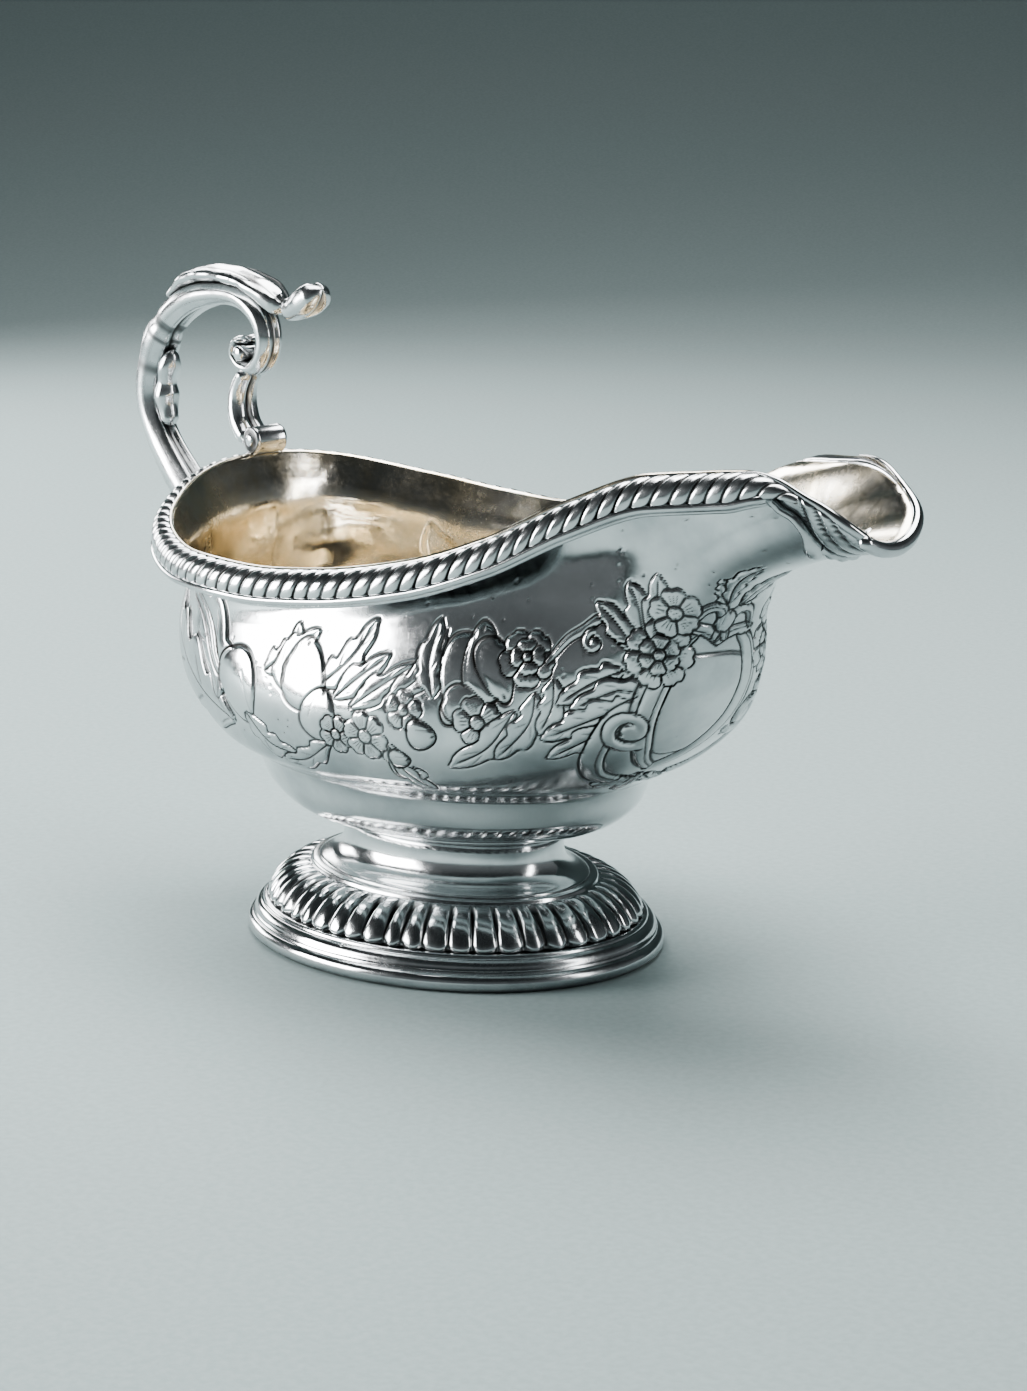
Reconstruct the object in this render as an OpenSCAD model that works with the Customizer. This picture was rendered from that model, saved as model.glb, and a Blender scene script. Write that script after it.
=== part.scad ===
// Footed sauce boat: a raised bowl with a poured spout, a gadrooned rim,
// a leaf-capped scroll handle and an oval lobed foot.
// Length runs along X with the spout at +X, the width is along Y and Z is up.
// The boat stands on z = 0.

/* [Bowl] */
// Back of the rim, behind the foot's middle
rim_back = 57; // [54:0.5:60]
// Front of the spout, ahead of the foot's middle
rim_front = 108; // [104:0.5:112]
// Half width of the rim at the sides
rim_half_width = 44; // [42:0.5:46]
// Height of the rim where it is lowest
rim_height = 72; // [71:0.5:73]
// Thickness of the raised sheet
sheet = 1; // [0.8:0.1:1.2]

/* [Rim border] */
// How far the gadrooned border stands out from the rim
border_out = 3; // [2.6:0.1:3.2]
// Depth of the gadrooned border below the rim
border_depth = 3.1; // [2.8:0.1:3.3]
// Number of lobes on each half of the border
border_lobes = 44; // [36:1:52]
// Radius of the bead wire under the border
wire_radius = 0.75; // [0.6:0.05:0.8]

/* [Lip] */
// Angle round the rim that the pouring lip takes up on each side
lip_angle = 36; // [34:0.5:38]
// Radius of the rolled edge of the lip
roll_radius = 1.25; // [1:0.05:1.4]
// Radius of the reeded collar under the lip
collar_radius = 0.9; // [0.7:0.05:1]

/* [Handle] */
// Half width of the back stem across the boat
stem_half_width = 3.4; // [3:0.1:3.8]
// Half width of the flying leaf across the boat
leaf_half_width = 4.6; // [4:0.1:5]
// Radius of the small scroll that lands on the rim
rim_scroll_radius = 2.6; // [2.3:0.1:2.8]

/* [Foot] */
// Half length of the foot
foot_half_length = 42.3; // [41:0.1:44]
// Half width of the foot
foot_half_width = 34.6; // [33:0.1:36]
// Number of lobes round the foot
foot_lobes = 40; // [32:1:48]
// Height of the lobes above the dome
lobe_height = 0.9; // [0.5:0.1:1.1]

/* [Hidden] */

// Middle of the overall length, ahead of the foot's middle
middle_x = 7.12;
// Gap left at every soldered seam
seam = 0.1;
// Steps round the bowl
around = 80;
// Height of the handle's root: the ridge of the rim at the back
rim_back_height = rim_height + 9.4;

// How far the lip's sides swell forwards and up
nose_out = 2;
nose_up = 1;

// The rim's line from the back (-1) to the tip of the spout (1):
// [station, breadth factor, rise above the lowest point]
rim_line = [[-1, 1.23, 9.4], [-0.83, 1.24, 4], [-0.69, 1.2, 1.4], [-0.53, 1.145, 0.1], [-0.315, 1.05, 0],
    [-0.1, 0.94, 1.3], [0.12, 0.83, 4.6], [0.29, 0.745, 9.5], [0.44, 0.64, 16.2], [0.6, 0.54, 21.4],
    [0.77, 0.48, 22.6], [0.9, 0.54, 18.4], [0.97, 0.66, 14.6], [1, 0.72, 12.6]];

// Levels of the lower bulb, from its flat bottom to the crease, then of the
// upper body from the crease to the rim:
// [height, back, front, half width, share of the rim's breadth, share of the rim's rise]
bulb_levels = [[22.5, 25, 25, 19, 0, 0], [23.5, 33, 33, 25, 0, 0],
    [27, 39.5, 39.5, 28.5, 0, 0], [33, 42, 42, 30.5, 0, 0]];
body_levels = [[34, 42.5, 43, 31.5, 0, 0], [38, 49.5, 51, 37.5, 0.05, 0], [46, 56, 63, 41.5, 0.15, 0.05],
    [54, 57.5, 70, 41.5, 0.35, 0.2], [61, 54.5, 73, 40, 0.6, 0.45], [66, 53.5, 80, 39.5, 0.85, 0.72],
    [69.5, 55.5, 95, 41.5, 1, 0.93], [rim_height, rim_back, rim_front, rim_half_width, 1, 1]];

// Where the seam of the lip crosses the spout's underside, as a share of the body's height
lip_seam = 0.9;

// Centre line of the back scroll, from the bulge over the top and into its eye,
// in X and Z from the back of the rim, then its half thickness and half width
back_scroll_line = [[-3.4, -24.4, 2.3, 0.95], [-9, -20.6, 2.6, 1], [-17.5, -14.5, 3, 1], [-25.2, -8.7, 3.2, 1],
    [-30, -4.3, 3.2, 1], [-33.7, 0.2, 3.1, 1], [-36, 4.9, 2.8, 1], [-36.4, 9.8, 2.7, 1], [-35, 14.8, 2.7, 1],
    [-32, 20, 2.8, 1], [-27, 24.7, 2.6, 1], [-19.9, 28, 2.2, 1], [-11.5, 29.4, 2, 0.95], [-4.3, 29, 1.9, 0.9],
    [0.5, 26.6, 1.9, 0.85], [2.7, 23, 1.8, 0.8], [2, 19.2, 1.7, 0.8], [-1.9, 16.4, 1.5, 0.8],
    [-5.8, 17, 1.2, 0.8], [-6.8, 18.8, 1, 0.85], [-5.1, 20.4, 0.9, 0.9], [-3.1, 19.7, 0.8, 0.9]];
stem_leaf_line = [[-30.3, 2.3, 0.5, 0.4], [-31.4, 6.2, 1.7, 0.7], [-31.9, 9.6, 1.5, 0.75],
    [-30.5, 13, 1.8, 0.8], [-29, 17.6, 0.5, 0.4]];
flying_leaf_line = [[-29, 27.6, 0.5, 0.35], [-21, 31.6, 1.3, 0.8], [-11.7, 33.1, 1.4, 1],
    [-3.4, 32.6, 1.5, 1], [2.2, 31, 1.7, 0.85], [6.2, 28.6, 2.1, 0.6], [8.4, 28.1, 2.1, 0.55]];
leaf_bud_line = [[8.9, 28.1, 1.9, 0.5], [12, 28.5, 2.1, 0.55], [15.4, 29.5, 2.4, 0.65],
    [18, 30.5, 2.3, 0.65], [20, 31.2, 1.4, 0.5]];
front_stem_line = [[-2.4, 13.8, 1.2, 0.65], [-4.4, 12, 1.7, 0.75], [-5.5, 9, 2, 0.85],
    [-5, 6.5, 2, 0.9], [-3.4, 4.6, 1.6, 0.9], [-2, 3.5, 1, 0.9]];

// ---- Curves ----

// A smooth curve through evenly spaced entries of a list, at share s of its length
function along(list, s) =
    let (n = len(list) - 1, i = min(floor(s * n), n - 1), t = s * n - i,
        p = list[i], q = list[i + 1],
        before = i > 0 ? list[i - 1] : 2 * p - q,
        after = i < n - 1 ? list[i + 2] : 2 * q - p)
    p + t * (q - before) / 2 + t * t * (before - 2.5 * p + 2 * q - after / 2)
        + t * t * t * (1.5 * (p - q) + (after - before) / 2);

// The stretch of table t that holds x, and the slope of column k at a row
function stretch_of(t, x, i = 0) = i < len(t) - 2 && x > t[i + 1][0] ? stretch_of(t, x, i + 1) : i;
function rise(t, i, k) = (t[i + 1][k] - t[i][k]) / (t[i + 1][0] - t[i][0]);
function slope(t, i, k) =
    i == 0 ? rise(t, 0, k)
    : i == len(t) - 1 ? rise(t, i - 1, k)
    : let (a = rise(t, i - 1, k), b = rise(t, i, k)) a * b <= 0 ? 0 : 2 * a * b / (a + b);

// Column k of table t at x, on a smooth curve that never overshoots its rows
function smooth(t, x, k) =
    let (i = stretch_of(t, x), h = t[i + 1][0] - t[i][0], s = (x - t[i][0]) / h)
    t[i][k] * (1 + 2 * s) * pow(1 - s, 2) + t[i + 1][k] * s * s * (3 - 2 * s)
        + h * s * (1 - s) * ((1 - s) * slope(t, i, k) - s * slope(t, i + 1, k));

function unit(v) = v / norm(v);
function reverse(list) = [for (i = [len(list) - 1:-1:0]) list[i]];
function sum(list, i = 0) = i == len(list) - 1 ? list[i] : list[i] + sum(list, i + 1);
function middle_of(ring) = sum(ring) / len(ring);

// ---- Solids from rings of points ----

// Triangles between two neighbouring rings of n points that start at a and b
function band(a, b, n) = [for (j = [0:n - 1]) let (k = (j + 1) % n)
    each [[a + j, b + k, a + k], [a + j, b + j, b + k]]];

// A closed solid through rings of points, with a fan over each end
module lofted(rings) {
    n = len(rings[0]);
    last = len(rings) - 1;
    ends = n * len(rings);
    polyhedron(
        points = [for (ring = rings) each ring, middle_of(rings[0]), middle_of(rings[last])],
        faces = [for (i = [0:last - 1]) each band(i * n, (i + 1) * n, n),
            for (j = [0:n - 1]) [ends, j, (j + 1) % n],
            for (j = [0:n - 1]) [ends + 1, last * n + (j + 1) % n, last * n + j]]);
}

// A closed solid through rings of points whose last ring meets the first
module looped(rings) {
    n = len(rings[0]);
    m = len(rings);
    polyhedron(points = [for (ring = rings) each ring],
        faces = [for (i = [0:m - 1]) each band(i * n, ((i + 1) % m) * n, n)]);
}

// ---- The bowl's surface ----

// The point of a level at angle u round the bowl, 0 at the spout and 180 at the back
function ease(x, low, high) = let (s = max(0, min(1, (x - low) / (high - low)))) s * s * (3 - 2 * s);
// How much the sides of the lip swell forwards and up, at an angle from its middle
function nose(u) = let (a = acos(max(-1, min(1, cos(u))))) ease(a, 0, 22) * (1 - ease(a, 32, 48));
function level_point(level, u) =
    let (c = cos(u), breadth = smooth(rim_line, c, 1), lift = smooth(rim_line, c, 2))
    [(level[2] - level[1]) / 2 + (level[2] + level[1]) / 2 * c + level[4] * nose_out * nose(u),
     level[3] * sin(u) * (1 - level[4] + level[4] * breadth),
     level[0] + level[5] * (lift + nose_up * nose(u))];
function bulb_point(u, v) = level_point(along(bulb_levels, v), u);
function body_point(u, v) = level_point(along(body_levels, v), u);

// The outward direction of the surface, from points a small step away
step = 0.004;
function bulb_out(u, v) = let (w = min(v, 1 - step))
    unit(cross(bulb_point(u + 0.5, w) - bulb_point(u - 0.5, w), bulb_point(u, w + step) - bulb_point(u, w)));
function body_out(u, v) = let (w = min(v, 1 - step))
    unit(cross(body_point(u + 0.5, w) - body_point(u - 0.5, w), body_point(u, w + step) - body_point(u, w)));

// Height of the sheet's edge: the rim, or the lip's seam across the spout
function edge_of(u) = let (a = abs(u > 180 ? u - 360 : u))
    a >= lip_angle ? 1 : lip_seam + (1 - lip_seam) * pow(a / lip_angle, 3);

// The rim's ridge and the way it runs, then the level direction square to it
// and the direction in which its sheet ends
function ridge(u) = body_point(u, 1);
function ridge_run(u) = unit(body_point(u + 0.5, 1) - body_point(u - 0.5, 1));
function ridge_out(u) = let (t = ridge_run(u)) unit([t[1], -t[0], 0]);
function ridge_end(u) = unit(cross(body_out(u, 1), ridge_run(u)));

// ---- Swept pieces ----

// Rings of an oval bar along a line of [x, z, half thickness, half width share],
// which starts from the back of the rim
function bar_rings(line, half_width, steps, sides = 12) =
    [for (i = [0:steps]) let (
        s = i / steps, p = along(line, s),
        t = along(line, min(s + 0.004, 1)) - along(line, max(s - 0.004, 0)),
        n = unit([t[1], 0, -t[0]]))
        [for (j = [0:sides - 1]) let (a = 360 * j / sides)
            [p[0] - rim_back, 0, p[1] + rim_back_height] + p[2] * cos(a) * n
                + p[3] * half_width * sin(a) * [0, 1, 0]]];

// Rings of a round wire through points, which all stay square to its path
function wire_rings(path, radii, sides = 8) =
    [for (i = [0:len(path) - 1]) let (
        t = unit(path[min(i + 1, len(path) - 1)] - path[max(i - 1, 0)]),
        a = unit(cross(t, [0, 0, 1])), b = cross(t, a))
        [for (j = [0:sides - 1]) path[i] + radii[i] * (cos(360 * j / sides) * a + sin(360 * j / sides) * b)]];

module in_place() { translate([-middle_x, 0, 0]) children(); }

// ---- Bowl and rim ----

bulb_rows = 4;
body_rows = 14;
module bowl() {
    angles = [for (i = [0:around - 1]) 360 * i / around];
    outer = concat(
        [for (r = [0:bulb_rows]) [for (u = angles) bulb_point(u, r / bulb_rows)]],
        [for (r = [0:body_rows]) [for (u = angles) body_point(u, edge_of(u) * r / body_rows)]]);
    outward = concat(
        [for (r = [0:bulb_rows]) [for (u = angles) bulb_out(u, r / bulb_rows)]],
        [for (r = [0:body_rows]) [for (u = angles) body_out(u, edge_of(u) * r / body_rows)]]);
    inner = [for (r = [0:len(outer) - 1]) [for (i = [0:around - 1]) outer[r][i] - sheet * outward[r][i]]];
    color("silver") in_place() lofted(concat(outer, reverse(inner)));
}

lip_rows = 6;
lip_columns = 28;
module pouring_lip() {
    reach = lip_angle - 1;
    color("lightgray") in_place() lofted([for (i = [0:lip_columns])
        let (u = reach - 2 * reach * i / lip_columns, low = edge_of(u) + 0.006,
            rows = [for (r = [0:lip_rows]) low + (1 - low) * r / lip_rows])
        concat([for (v = rows) body_point(u, v)],
            [for (v = reverse(rows)) body_point(u, v) - sheet * body_out(u, v)])]);
}

// The rolled edge sits on top of the lip's own edge
module lip_roll() {
    reach = lip_angle - 0.5;
    path = [for (i = [0:lip_columns]) let (u = -reach + 2 * reach * i / lip_columns)
        ridge(u) - sheet / 2 * body_out(u, 1) + (roll_radius + seam) * ridge_end(u)];
    color("silver") in_place() lofted(wire_rings(path, [for (p = path) roll_radius], 10));
}

// The reeded collar covers the lip's seam under the spout
module lip_collar() {
    reach = lip_angle - 6;
    count = 40;
    path = [for (i = [0:count]) let (u = -reach + 2 * reach * i / count, v = edge_of(u))
        body_point(u, v) + (collar_radius + seam) * body_out(u, v)];
    color("darkgray") in_place() lofted(wire_rings(path,
        [for (i = [0:count]) collar_radius * (i % 2 == 0 ? 1 : 0.8)], 8));
}

// The cast border: its inner side lies along the sheet and its outer side is
// lobed. It grows from nothing at the front to its full depth.
module border_half() {
    start = lip_angle + 2;
    count = 3 * border_lobes;
    lofted([for (i = [0:count])
        let (u = start + (179.5 - start) * i / count, size = min(1, 0.3 + 0.7 * i / count * 5),
            lobe = 1 - 0.14 * (i % 3 == 0 ? 1 : 0), o = border_out * size * lobe, d = border_depth * size,
            base = ridge(u), n = ridge_out(u), up = [0, 0, 1],
            fall = size * 4.2 / norm(body_point(u, 1) - body_point(u, 6 / 7)) / 7,
            low = 1 - fall, half = 1 - fall / 2)
        [base + seam * n, base + 0.42 * o * n - 0.08 * d * up, base + 0.8 * o * n - 0.4 * d * up,
         base + o * n - 0.82 * d * up, base + 0.9 * o * n - d * up,
         body_point(u, low) + seam * 1.5 * body_out(u, low),
         body_point(u, half) + seam * 1.5 * body_out(u, half)]]);
}

// The bead wire runs under the border and ends in a small bulb by the lip
module wire_half() {
    start = lip_angle + 4;
    count = 64;
    lofted(wire_rings([for (i = [0:count]) let (u = start + (179.5 - start) * i / count)
            ridge(u) + (border_out - wire_radius) * ridge_out(u)
                - [0, 0, border_depth + wire_radius + seam]],
        [for (i = [0:count]) wire_radius * (i == 0 ? 0.5 : 1)], 8));
}

module rim_gadroon_left() { color("gainsboro") in_place() border_half(); }
module rim_gadroon_right() { color("gainsboro") in_place() mirror([0, 1, 0]) border_half(); }
module rim_wire_left() { color("white") in_place() wire_half(); }
module rim_wire_right() { color("white") in_place() mirror([0, 1, 0]) wire_half(); }

// ---- Handle ----

module handle_back_scroll() {
    color("silver") in_place() lofted(bar_rings(back_scroll_line, stem_half_width, 76));
}
module handle_stem_leaf() {
    color("lightgray") in_place() lofted(bar_rings(stem_leaf_line, stem_half_width, 16));
}
module handle_flying_leaf() {
    color("lightgray") in_place() lofted(bar_rings(flying_leaf_line, leaf_half_width, 26));
}
module handle_leaf_bud() {
    color("silver") in_place() lofted(bar_rings(leaf_bud_line, leaf_half_width, 14));
}
module handle_front_stem() {
    color("silver") in_place() lofted(bar_rings(front_stem_line, stem_half_width, 22));
}

// The small scroll lies across the back of the rim
module handle_rim_scroll() {
    color("lightgray") in_place()
        translate([1.1 - rim_back, 0, rim_back_height + rim_scroll_radius + 0.3]) rotate([90, 0, 0]) {
            cylinder(r = rim_scroll_radius, h = 7, center = true, $fn = 40);
            cylinder(r = rim_scroll_radius * 0.6, h = 8, center = true, $fn = 40);
        }
}

// The leaf that spreads over the bulge where the back scroll lands
module handle_terminal_leaf() {
    rows = 10;
    rings = [for (i = [0:20]) let (s = i / 20 * 2 - 1, u = 180 + 17 * s, tall = sqrt(1 - 0.9 * s * s))
        let (vs = [for (r = [0:rows]) 0.43 + 0.15 * tall * (2 * r / rows - 1)])
        concat([for (v = vs) body_point(u, v) + seam * 1.5 * body_out(u, v)],
            [for (r = [rows:-1:0]) let (v = vs[r], w = 2 * r / rows - 1)
                body_point(u, v) + (0.5 + 1.3 * tall * (1 - w * w)) * body_out(u, v)])];
    color("lightgray") in_place() lofted(rings);
}

// ---- Foot ----

// A ring of the foot's oval at a distance in from its edge and a height
function foot_point(a, inset, z) =
    [(foot_half_length - inset) * cos(a), (foot_half_width - inset) * sin(a), z];
foot_top = 13.2;
neck_top = 22.5 - seam;

module foot_base() {
    profile = [[0.7, 0], [0, 0.9], [0, 2.2], [0.6, 3.1], [1.4, 3.5], [1.5, 4.3], [2.6, 5.2], [3.5, 6.3],
        [5.6, 6.3], [5.2, 4], [4.4, 2], [4.4, 0]];
    color("silver") in_place() looped([for (i = [0:63]) [for (p = reverse(profile)) foot_point(360 * i / 64, p[0], p[1])]]);
}

module foot_dome() {
    low = 6.3 + seam;
    // [distance in, height, share of the lobes' swell]
    profile = [[4.6, low, 0], [4.4, 7.2, 0.6], [6, 9.6, 1], [8.6, 11.6, 1], [11.6, 12.6, 0.3],
        [12.6, foot_top, 0], [17.8, foot_top, 0], [17.8, foot_top - 1.4, 0], [12.4, 11.2, 0],
        [8.4, 9.4, 0], [5.8, low, 0]];
    steps = foot_lobes * 3;
    color("gainsboro") in_place() looped([for (i = [0:steps - 1])
        let (a = 360 * i / steps, swell = i % 3 == 0 ? 0 : lobe_height)
        [for (p = reverse(profile)) foot_point(a, p[0] - 0.5 * swell * p[2], p[1] + 0.7 * swell * p[2])]]);
}

module foot_neck() {
    profile = [[14, foot_top + seam], [15.6, foot_top + 0.9], [17.6, foot_top + 2.2], [18.2, 17.6], [18.2, 19.6],
        [17.6, 21.4], [16.6, neck_top], [18.8, neck_top], [19.6, 19], [19.4, 16], [17.4, foot_top + seam]];
    color("silver") in_place() looped([for (i = [0:63]) [for (p = reverse(profile)) foot_point(360 * i / 64, p[0], p[1])]]);
}

bowl();
pouring_lip();
lip_roll();
lip_collar();
rim_gadroon_left();
rim_gadroon_right();
rim_wire_left();
rim_wire_right();
handle_back_scroll();
handle_terminal_leaf();
handle_stem_leaf();
handle_flying_leaf();
handle_leaf_bud();
handle_front_stem();
handle_rim_scroll();
foot_neck();
foot_dome();
foot_base();
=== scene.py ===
"""Looks of the silver sauce boat: chased bowl, pouring lip, gadrooned rim, scroll handle and oval foot."""

import logging
import math
from dataclasses import dataclass, field
from enum import Enum
from typing import Callable, Optional, Sequence

import bpy
import numpy as np
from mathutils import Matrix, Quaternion, Vector


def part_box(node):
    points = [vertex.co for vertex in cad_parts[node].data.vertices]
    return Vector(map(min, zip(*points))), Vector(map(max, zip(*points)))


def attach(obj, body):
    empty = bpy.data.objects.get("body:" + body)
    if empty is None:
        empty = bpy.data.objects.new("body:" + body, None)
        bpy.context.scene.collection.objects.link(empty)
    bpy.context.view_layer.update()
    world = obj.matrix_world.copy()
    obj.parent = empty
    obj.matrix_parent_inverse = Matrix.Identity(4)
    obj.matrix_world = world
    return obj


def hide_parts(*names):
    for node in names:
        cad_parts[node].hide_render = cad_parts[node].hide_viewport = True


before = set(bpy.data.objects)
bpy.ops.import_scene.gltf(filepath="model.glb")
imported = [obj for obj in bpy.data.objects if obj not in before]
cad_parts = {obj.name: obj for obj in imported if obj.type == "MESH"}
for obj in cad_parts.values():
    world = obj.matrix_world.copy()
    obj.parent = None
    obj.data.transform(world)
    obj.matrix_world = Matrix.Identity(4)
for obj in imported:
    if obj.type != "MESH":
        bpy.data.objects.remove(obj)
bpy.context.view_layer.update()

LOG = logging.getLogger("sauce_boat")
MM = 0.001
BODY = "root"
# Attribute of the dark marks: tarnish, and painted shade in the grooves between the rim's reeds.
MARK = "tarnish_and_painted_shade"

Array = np.ndarray
Colour = tuple[float, float, float]


# ---------------------------------------------------------------- plain maths

def unit(vectors: Array) -> Array:
    """The same directions with length one."""
    return vectors / np.maximum(np.linalg.norm(vectors, axis=-1, keepdims=True), 1e-9)


def ramp(value: Array, low: float, high: float) -> Array:
    """Rises smoothly from 0 at low to 1 at high."""
    share = np.clip((np.asarray(value, float) - low) / (high - low), 0, 1)
    return share * share * (3 - 2 * share)


def bell(value: Array, width: float) -> Array:
    """A bell curve of height one round zero."""
    return np.exp(-np.square(np.asarray(value, float) / width))


def smooth(rows: Array, where: Array, column: int) -> Array:
    """Reads one column of a table between its rows without overshoot.

    Args:
        rows: Table whose first column rises.
        where: Values of the first column to read at.
        column: Column to read.

    Returns:
        The smoothed values.
    """
    x, y = rows[:, 0], rows[:, column]
    step = np.diff(x)
    rise = np.diff(y) / step
    slope = np.concatenate([rise[:1], np.zeros(len(x) - 2), rise[-1:]])
    before, after = rise[:-1], rise[1:]
    total = np.where(before + after == 0, 1, before + after)
    slope[1:-1] = np.where(before * after <= 0, 0, 2 * before * after / total)
    i = np.clip(np.searchsorted(x, where, side="left") - 1, 0, len(x) - 2)
    q = (where - x[i]) / step[i]
    ends = y[i] * (1 + 2 * q) * (1 - q) ** 2 + y[i + 1] * q * q * (3 - 2 * q)
    return ends + step[i] * q * (1 - q) * ((1 - q) * slope[i] - q * slope[i + 1])


def along(rows: Array, share: Array) -> Array:
    """Runs a smooth curve through all rows.

    Args:
        rows: Points or levels in order.
        share: Places along the rows, 0 at the first and 1 at the last.

    Returns:
        One interpolated row for each share.
    """
    last = len(rows) - 1
    share = np.asarray(share, float)
    i = np.clip(np.floor(share * last).astype(int), 0, last - 1)
    t = (share * last - i)[..., None]
    ends = np.concatenate([[2 * rows[0] - rows[1]], rows, [2 * rows[-1] - rows[-2]]])
    b, p, q, a = ends[i], ends[i + 1], ends[i + 2], ends[i + 3]
    square = b - 2.5 * p + 2 * q - a / 2
    cube = 1.5 * (p - q) + (a - b) / 2
    return p + t * (q - b) / 2 + t * t * square + t ** 3 * cube


def lengths(path: Array) -> Array:
    """How far each point of a path is from its start, along the path."""
    return np.concatenate([[0], np.cumsum(np.linalg.norm(np.diff(path, axis=0), axis=1))])


# ---------------------------------------------------------------- skins and pieces

@dataclass
class Skin:
    """Points and faces of a closed skin, in millimetres from the middle of the foot.

    The mark of a point says how dark the chased or worn line through it is, from 0 to 1; in the grooves between the
    rim's reeds the mark also holds painted shade.
    """

    points: Array
    quads: Array
    tris: Array
    marks: Array

    def volume(self) -> float:
        """Six times the volume that the faces enclose, negative when they look inwards."""
        fans = np.concatenate([self.tris, self.quads[:, [0, 1, 2]], self.quads[:, [0, 2, 3]]])
        a, b, c = (self.points[fans[:, k]] for k in range(3))
        return float(np.einsum("ij,ij->i", a, np.cross(b, c)).sum())

    def outward(self) -> "Skin":
        """The same skin with its faces looking outwards."""
        if self.volume() < 0:
            self.quads, self.tris = self.quads[:, ::-1], self.tris[:, ::-1]
        return self


def loft(rings: Array, marks: Optional[Array] = None) -> Skin:
    """Joins closed rings into a skin and closes both ends with a fan.

    Args:
        rings: Array of rings, points round each ring and coordinates.
        marks: Mark of each point, or None for none.

    Returns:
        The closed skin, looking outwards.
    """
    count, sides = rings.shape[:2]
    points = np.concatenate([rings.reshape(-1, 3), [rings[0].mean(0), rings[-1].mean(0)]])
    flat = np.zeros(count * sides) if marks is None else np.broadcast_to(marks, (count, sides)).ravel()
    i, j = np.meshgrid(np.arange(count - 1), np.arange(sides), indexing="ij")
    k = (j + 1) % sides
    here, above = i * sides, (i + 1) * sides
    quads = np.stack([here + j, here + k, above + k, above + j], -1).reshape(-1, 4)
    j = np.arange(sides)
    k = (j + 1) % sides
    middle_of_start, middle_of_end = count * sides, count * sides + 1
    start = np.stack([k, j, np.full(sides, middle_of_start)], -1)
    end = np.stack([j, k, np.full(sides, middle_of_end)], -1)
    end[:, :2] += (count - 1) * sides
    marks = np.concatenate([flat, [flat[:sides].mean(), flat[-sides:].mean()]])
    return Skin(points, quads, np.concatenate([start, end]), marks).outward()


def tube(path: Array, radius: Array, sides: int = 14) -> Skin:
    """A round rod along a path.

    Args:
        path: Points of its centre line.
        radius: Radius at each point.
        sides: Points round the rod.

    Returns:
        The closed rod.
    """
    run = unit(np.gradient(path, axis=0))
    turn = np.linspace(0, 2 * np.pi, sides, endpoint=False)
    side = np.zeros_like(run)
    any_way = [0.1, 0.2, 1.0]
    last = unit(np.cross(run[0], any_way))
    for n, direction in enumerate(run):
        last = unit(last - direction * float(np.dot(last, direction)))
        side[n] = last
    over = np.cross(run, side)
    rings = path[:, None] + radius[:, None, None] * (
        side[:, None] * np.cos(turn)[None, :, None] + over[:, None] * np.sin(turn)[None, :, None])
    return loft(rings)


def join(skins: Sequence[Skin]) -> Skin:
    """One skin made of several.

    Args:
        skins: The skins to put together.

    Returns:
        The skin of them all.
    """
    starts = np.cumsum([0] + [len(s.points) for s in skins[:-1]])
    return Skin(
        np.concatenate([s.points for s in skins]),
        np.concatenate([s.quads + n for s, n in zip(skins, starts)]),
        np.concatenate([s.tris + n for s, n in zip(skins, starts)]),
        np.concatenate([s.marks for s in skins]))


def even(path: Array, step: float) -> Array:
    """Respaces a path so that its points lie about a step apart.

    Args:
        path: Points of the path, a row each.
        step: Distance wanted between points.

    Returns:
        The new points.
    """
    length = lengths(path)
    spots = np.linspace(0, length[-1], max(4, int(length[-1] / step) + 1))
    return np.stack([np.interp(spots, length, path[:, k]) for k in range(path.shape[1])], -1)


def place(name: str, skin: Skin, material: bpy.types.Material,
          nodes: Sequence[str]) -> bpy.types.Object:
    """Makes a piece from a skin, in metres and in the shared frame.

    Args:
        name: Name of the piece.
        skin: Its points and faces.
        material: Its finish.
        nodes: Solids of the frame that the piece stands for.

    Returns:
        The new object.
    """
    mesh = bpy.data.meshes.new(name)
    points = (skin.points + [middle_x(), 0, 0]) * MM
    mesh.vertices.add(len(points))
    mesh.vertices.foreach_set("co", points.ravel().astype(np.float32))
    corners = np.concatenate([skin.quads.ravel(), skin.tris.ravel()])
    starts = np.concatenate([
        np.arange(len(skin.quads)) * 4, len(skin.quads) * 4 + np.arange(len(skin.tris)) * 3])
    mesh.loops.add(len(corners))
    mesh.loops.foreach_set("vertex_index", corners.astype(np.int32))
    mesh.polygons.add(len(starts))
    mesh.polygons.foreach_set("loop_start", starts.astype(np.int32))
    mesh.update(calc_edges=True)
    mesh.validate()
    mesh.shade_smooth()
    mark = mesh.attributes.new(MARK, "FLOAT", "POINT")
    mark.data.foreach_set("value", np.clip(skin.marks, 0, 1).astype(np.float32))
    mesh.materials.append(material)
    piece = bpy.data.objects.new(name, mesh)
    bpy.context.scene.collection.objects.link(piece)
    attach(piece, BODY)
    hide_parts(*nodes)
    LOG.info("%s: %d points, stands for %s", name, len(points), ", ".join(nodes))
    return piece


def middle_x() -> float:
    """Where the middle of the foot is along the length of the frame, in millimetres."""
    low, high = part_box("foot_base")
    return (low.x + high.x) / 2 / MM


# ---------------------------------------------------------------- finishes

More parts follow.
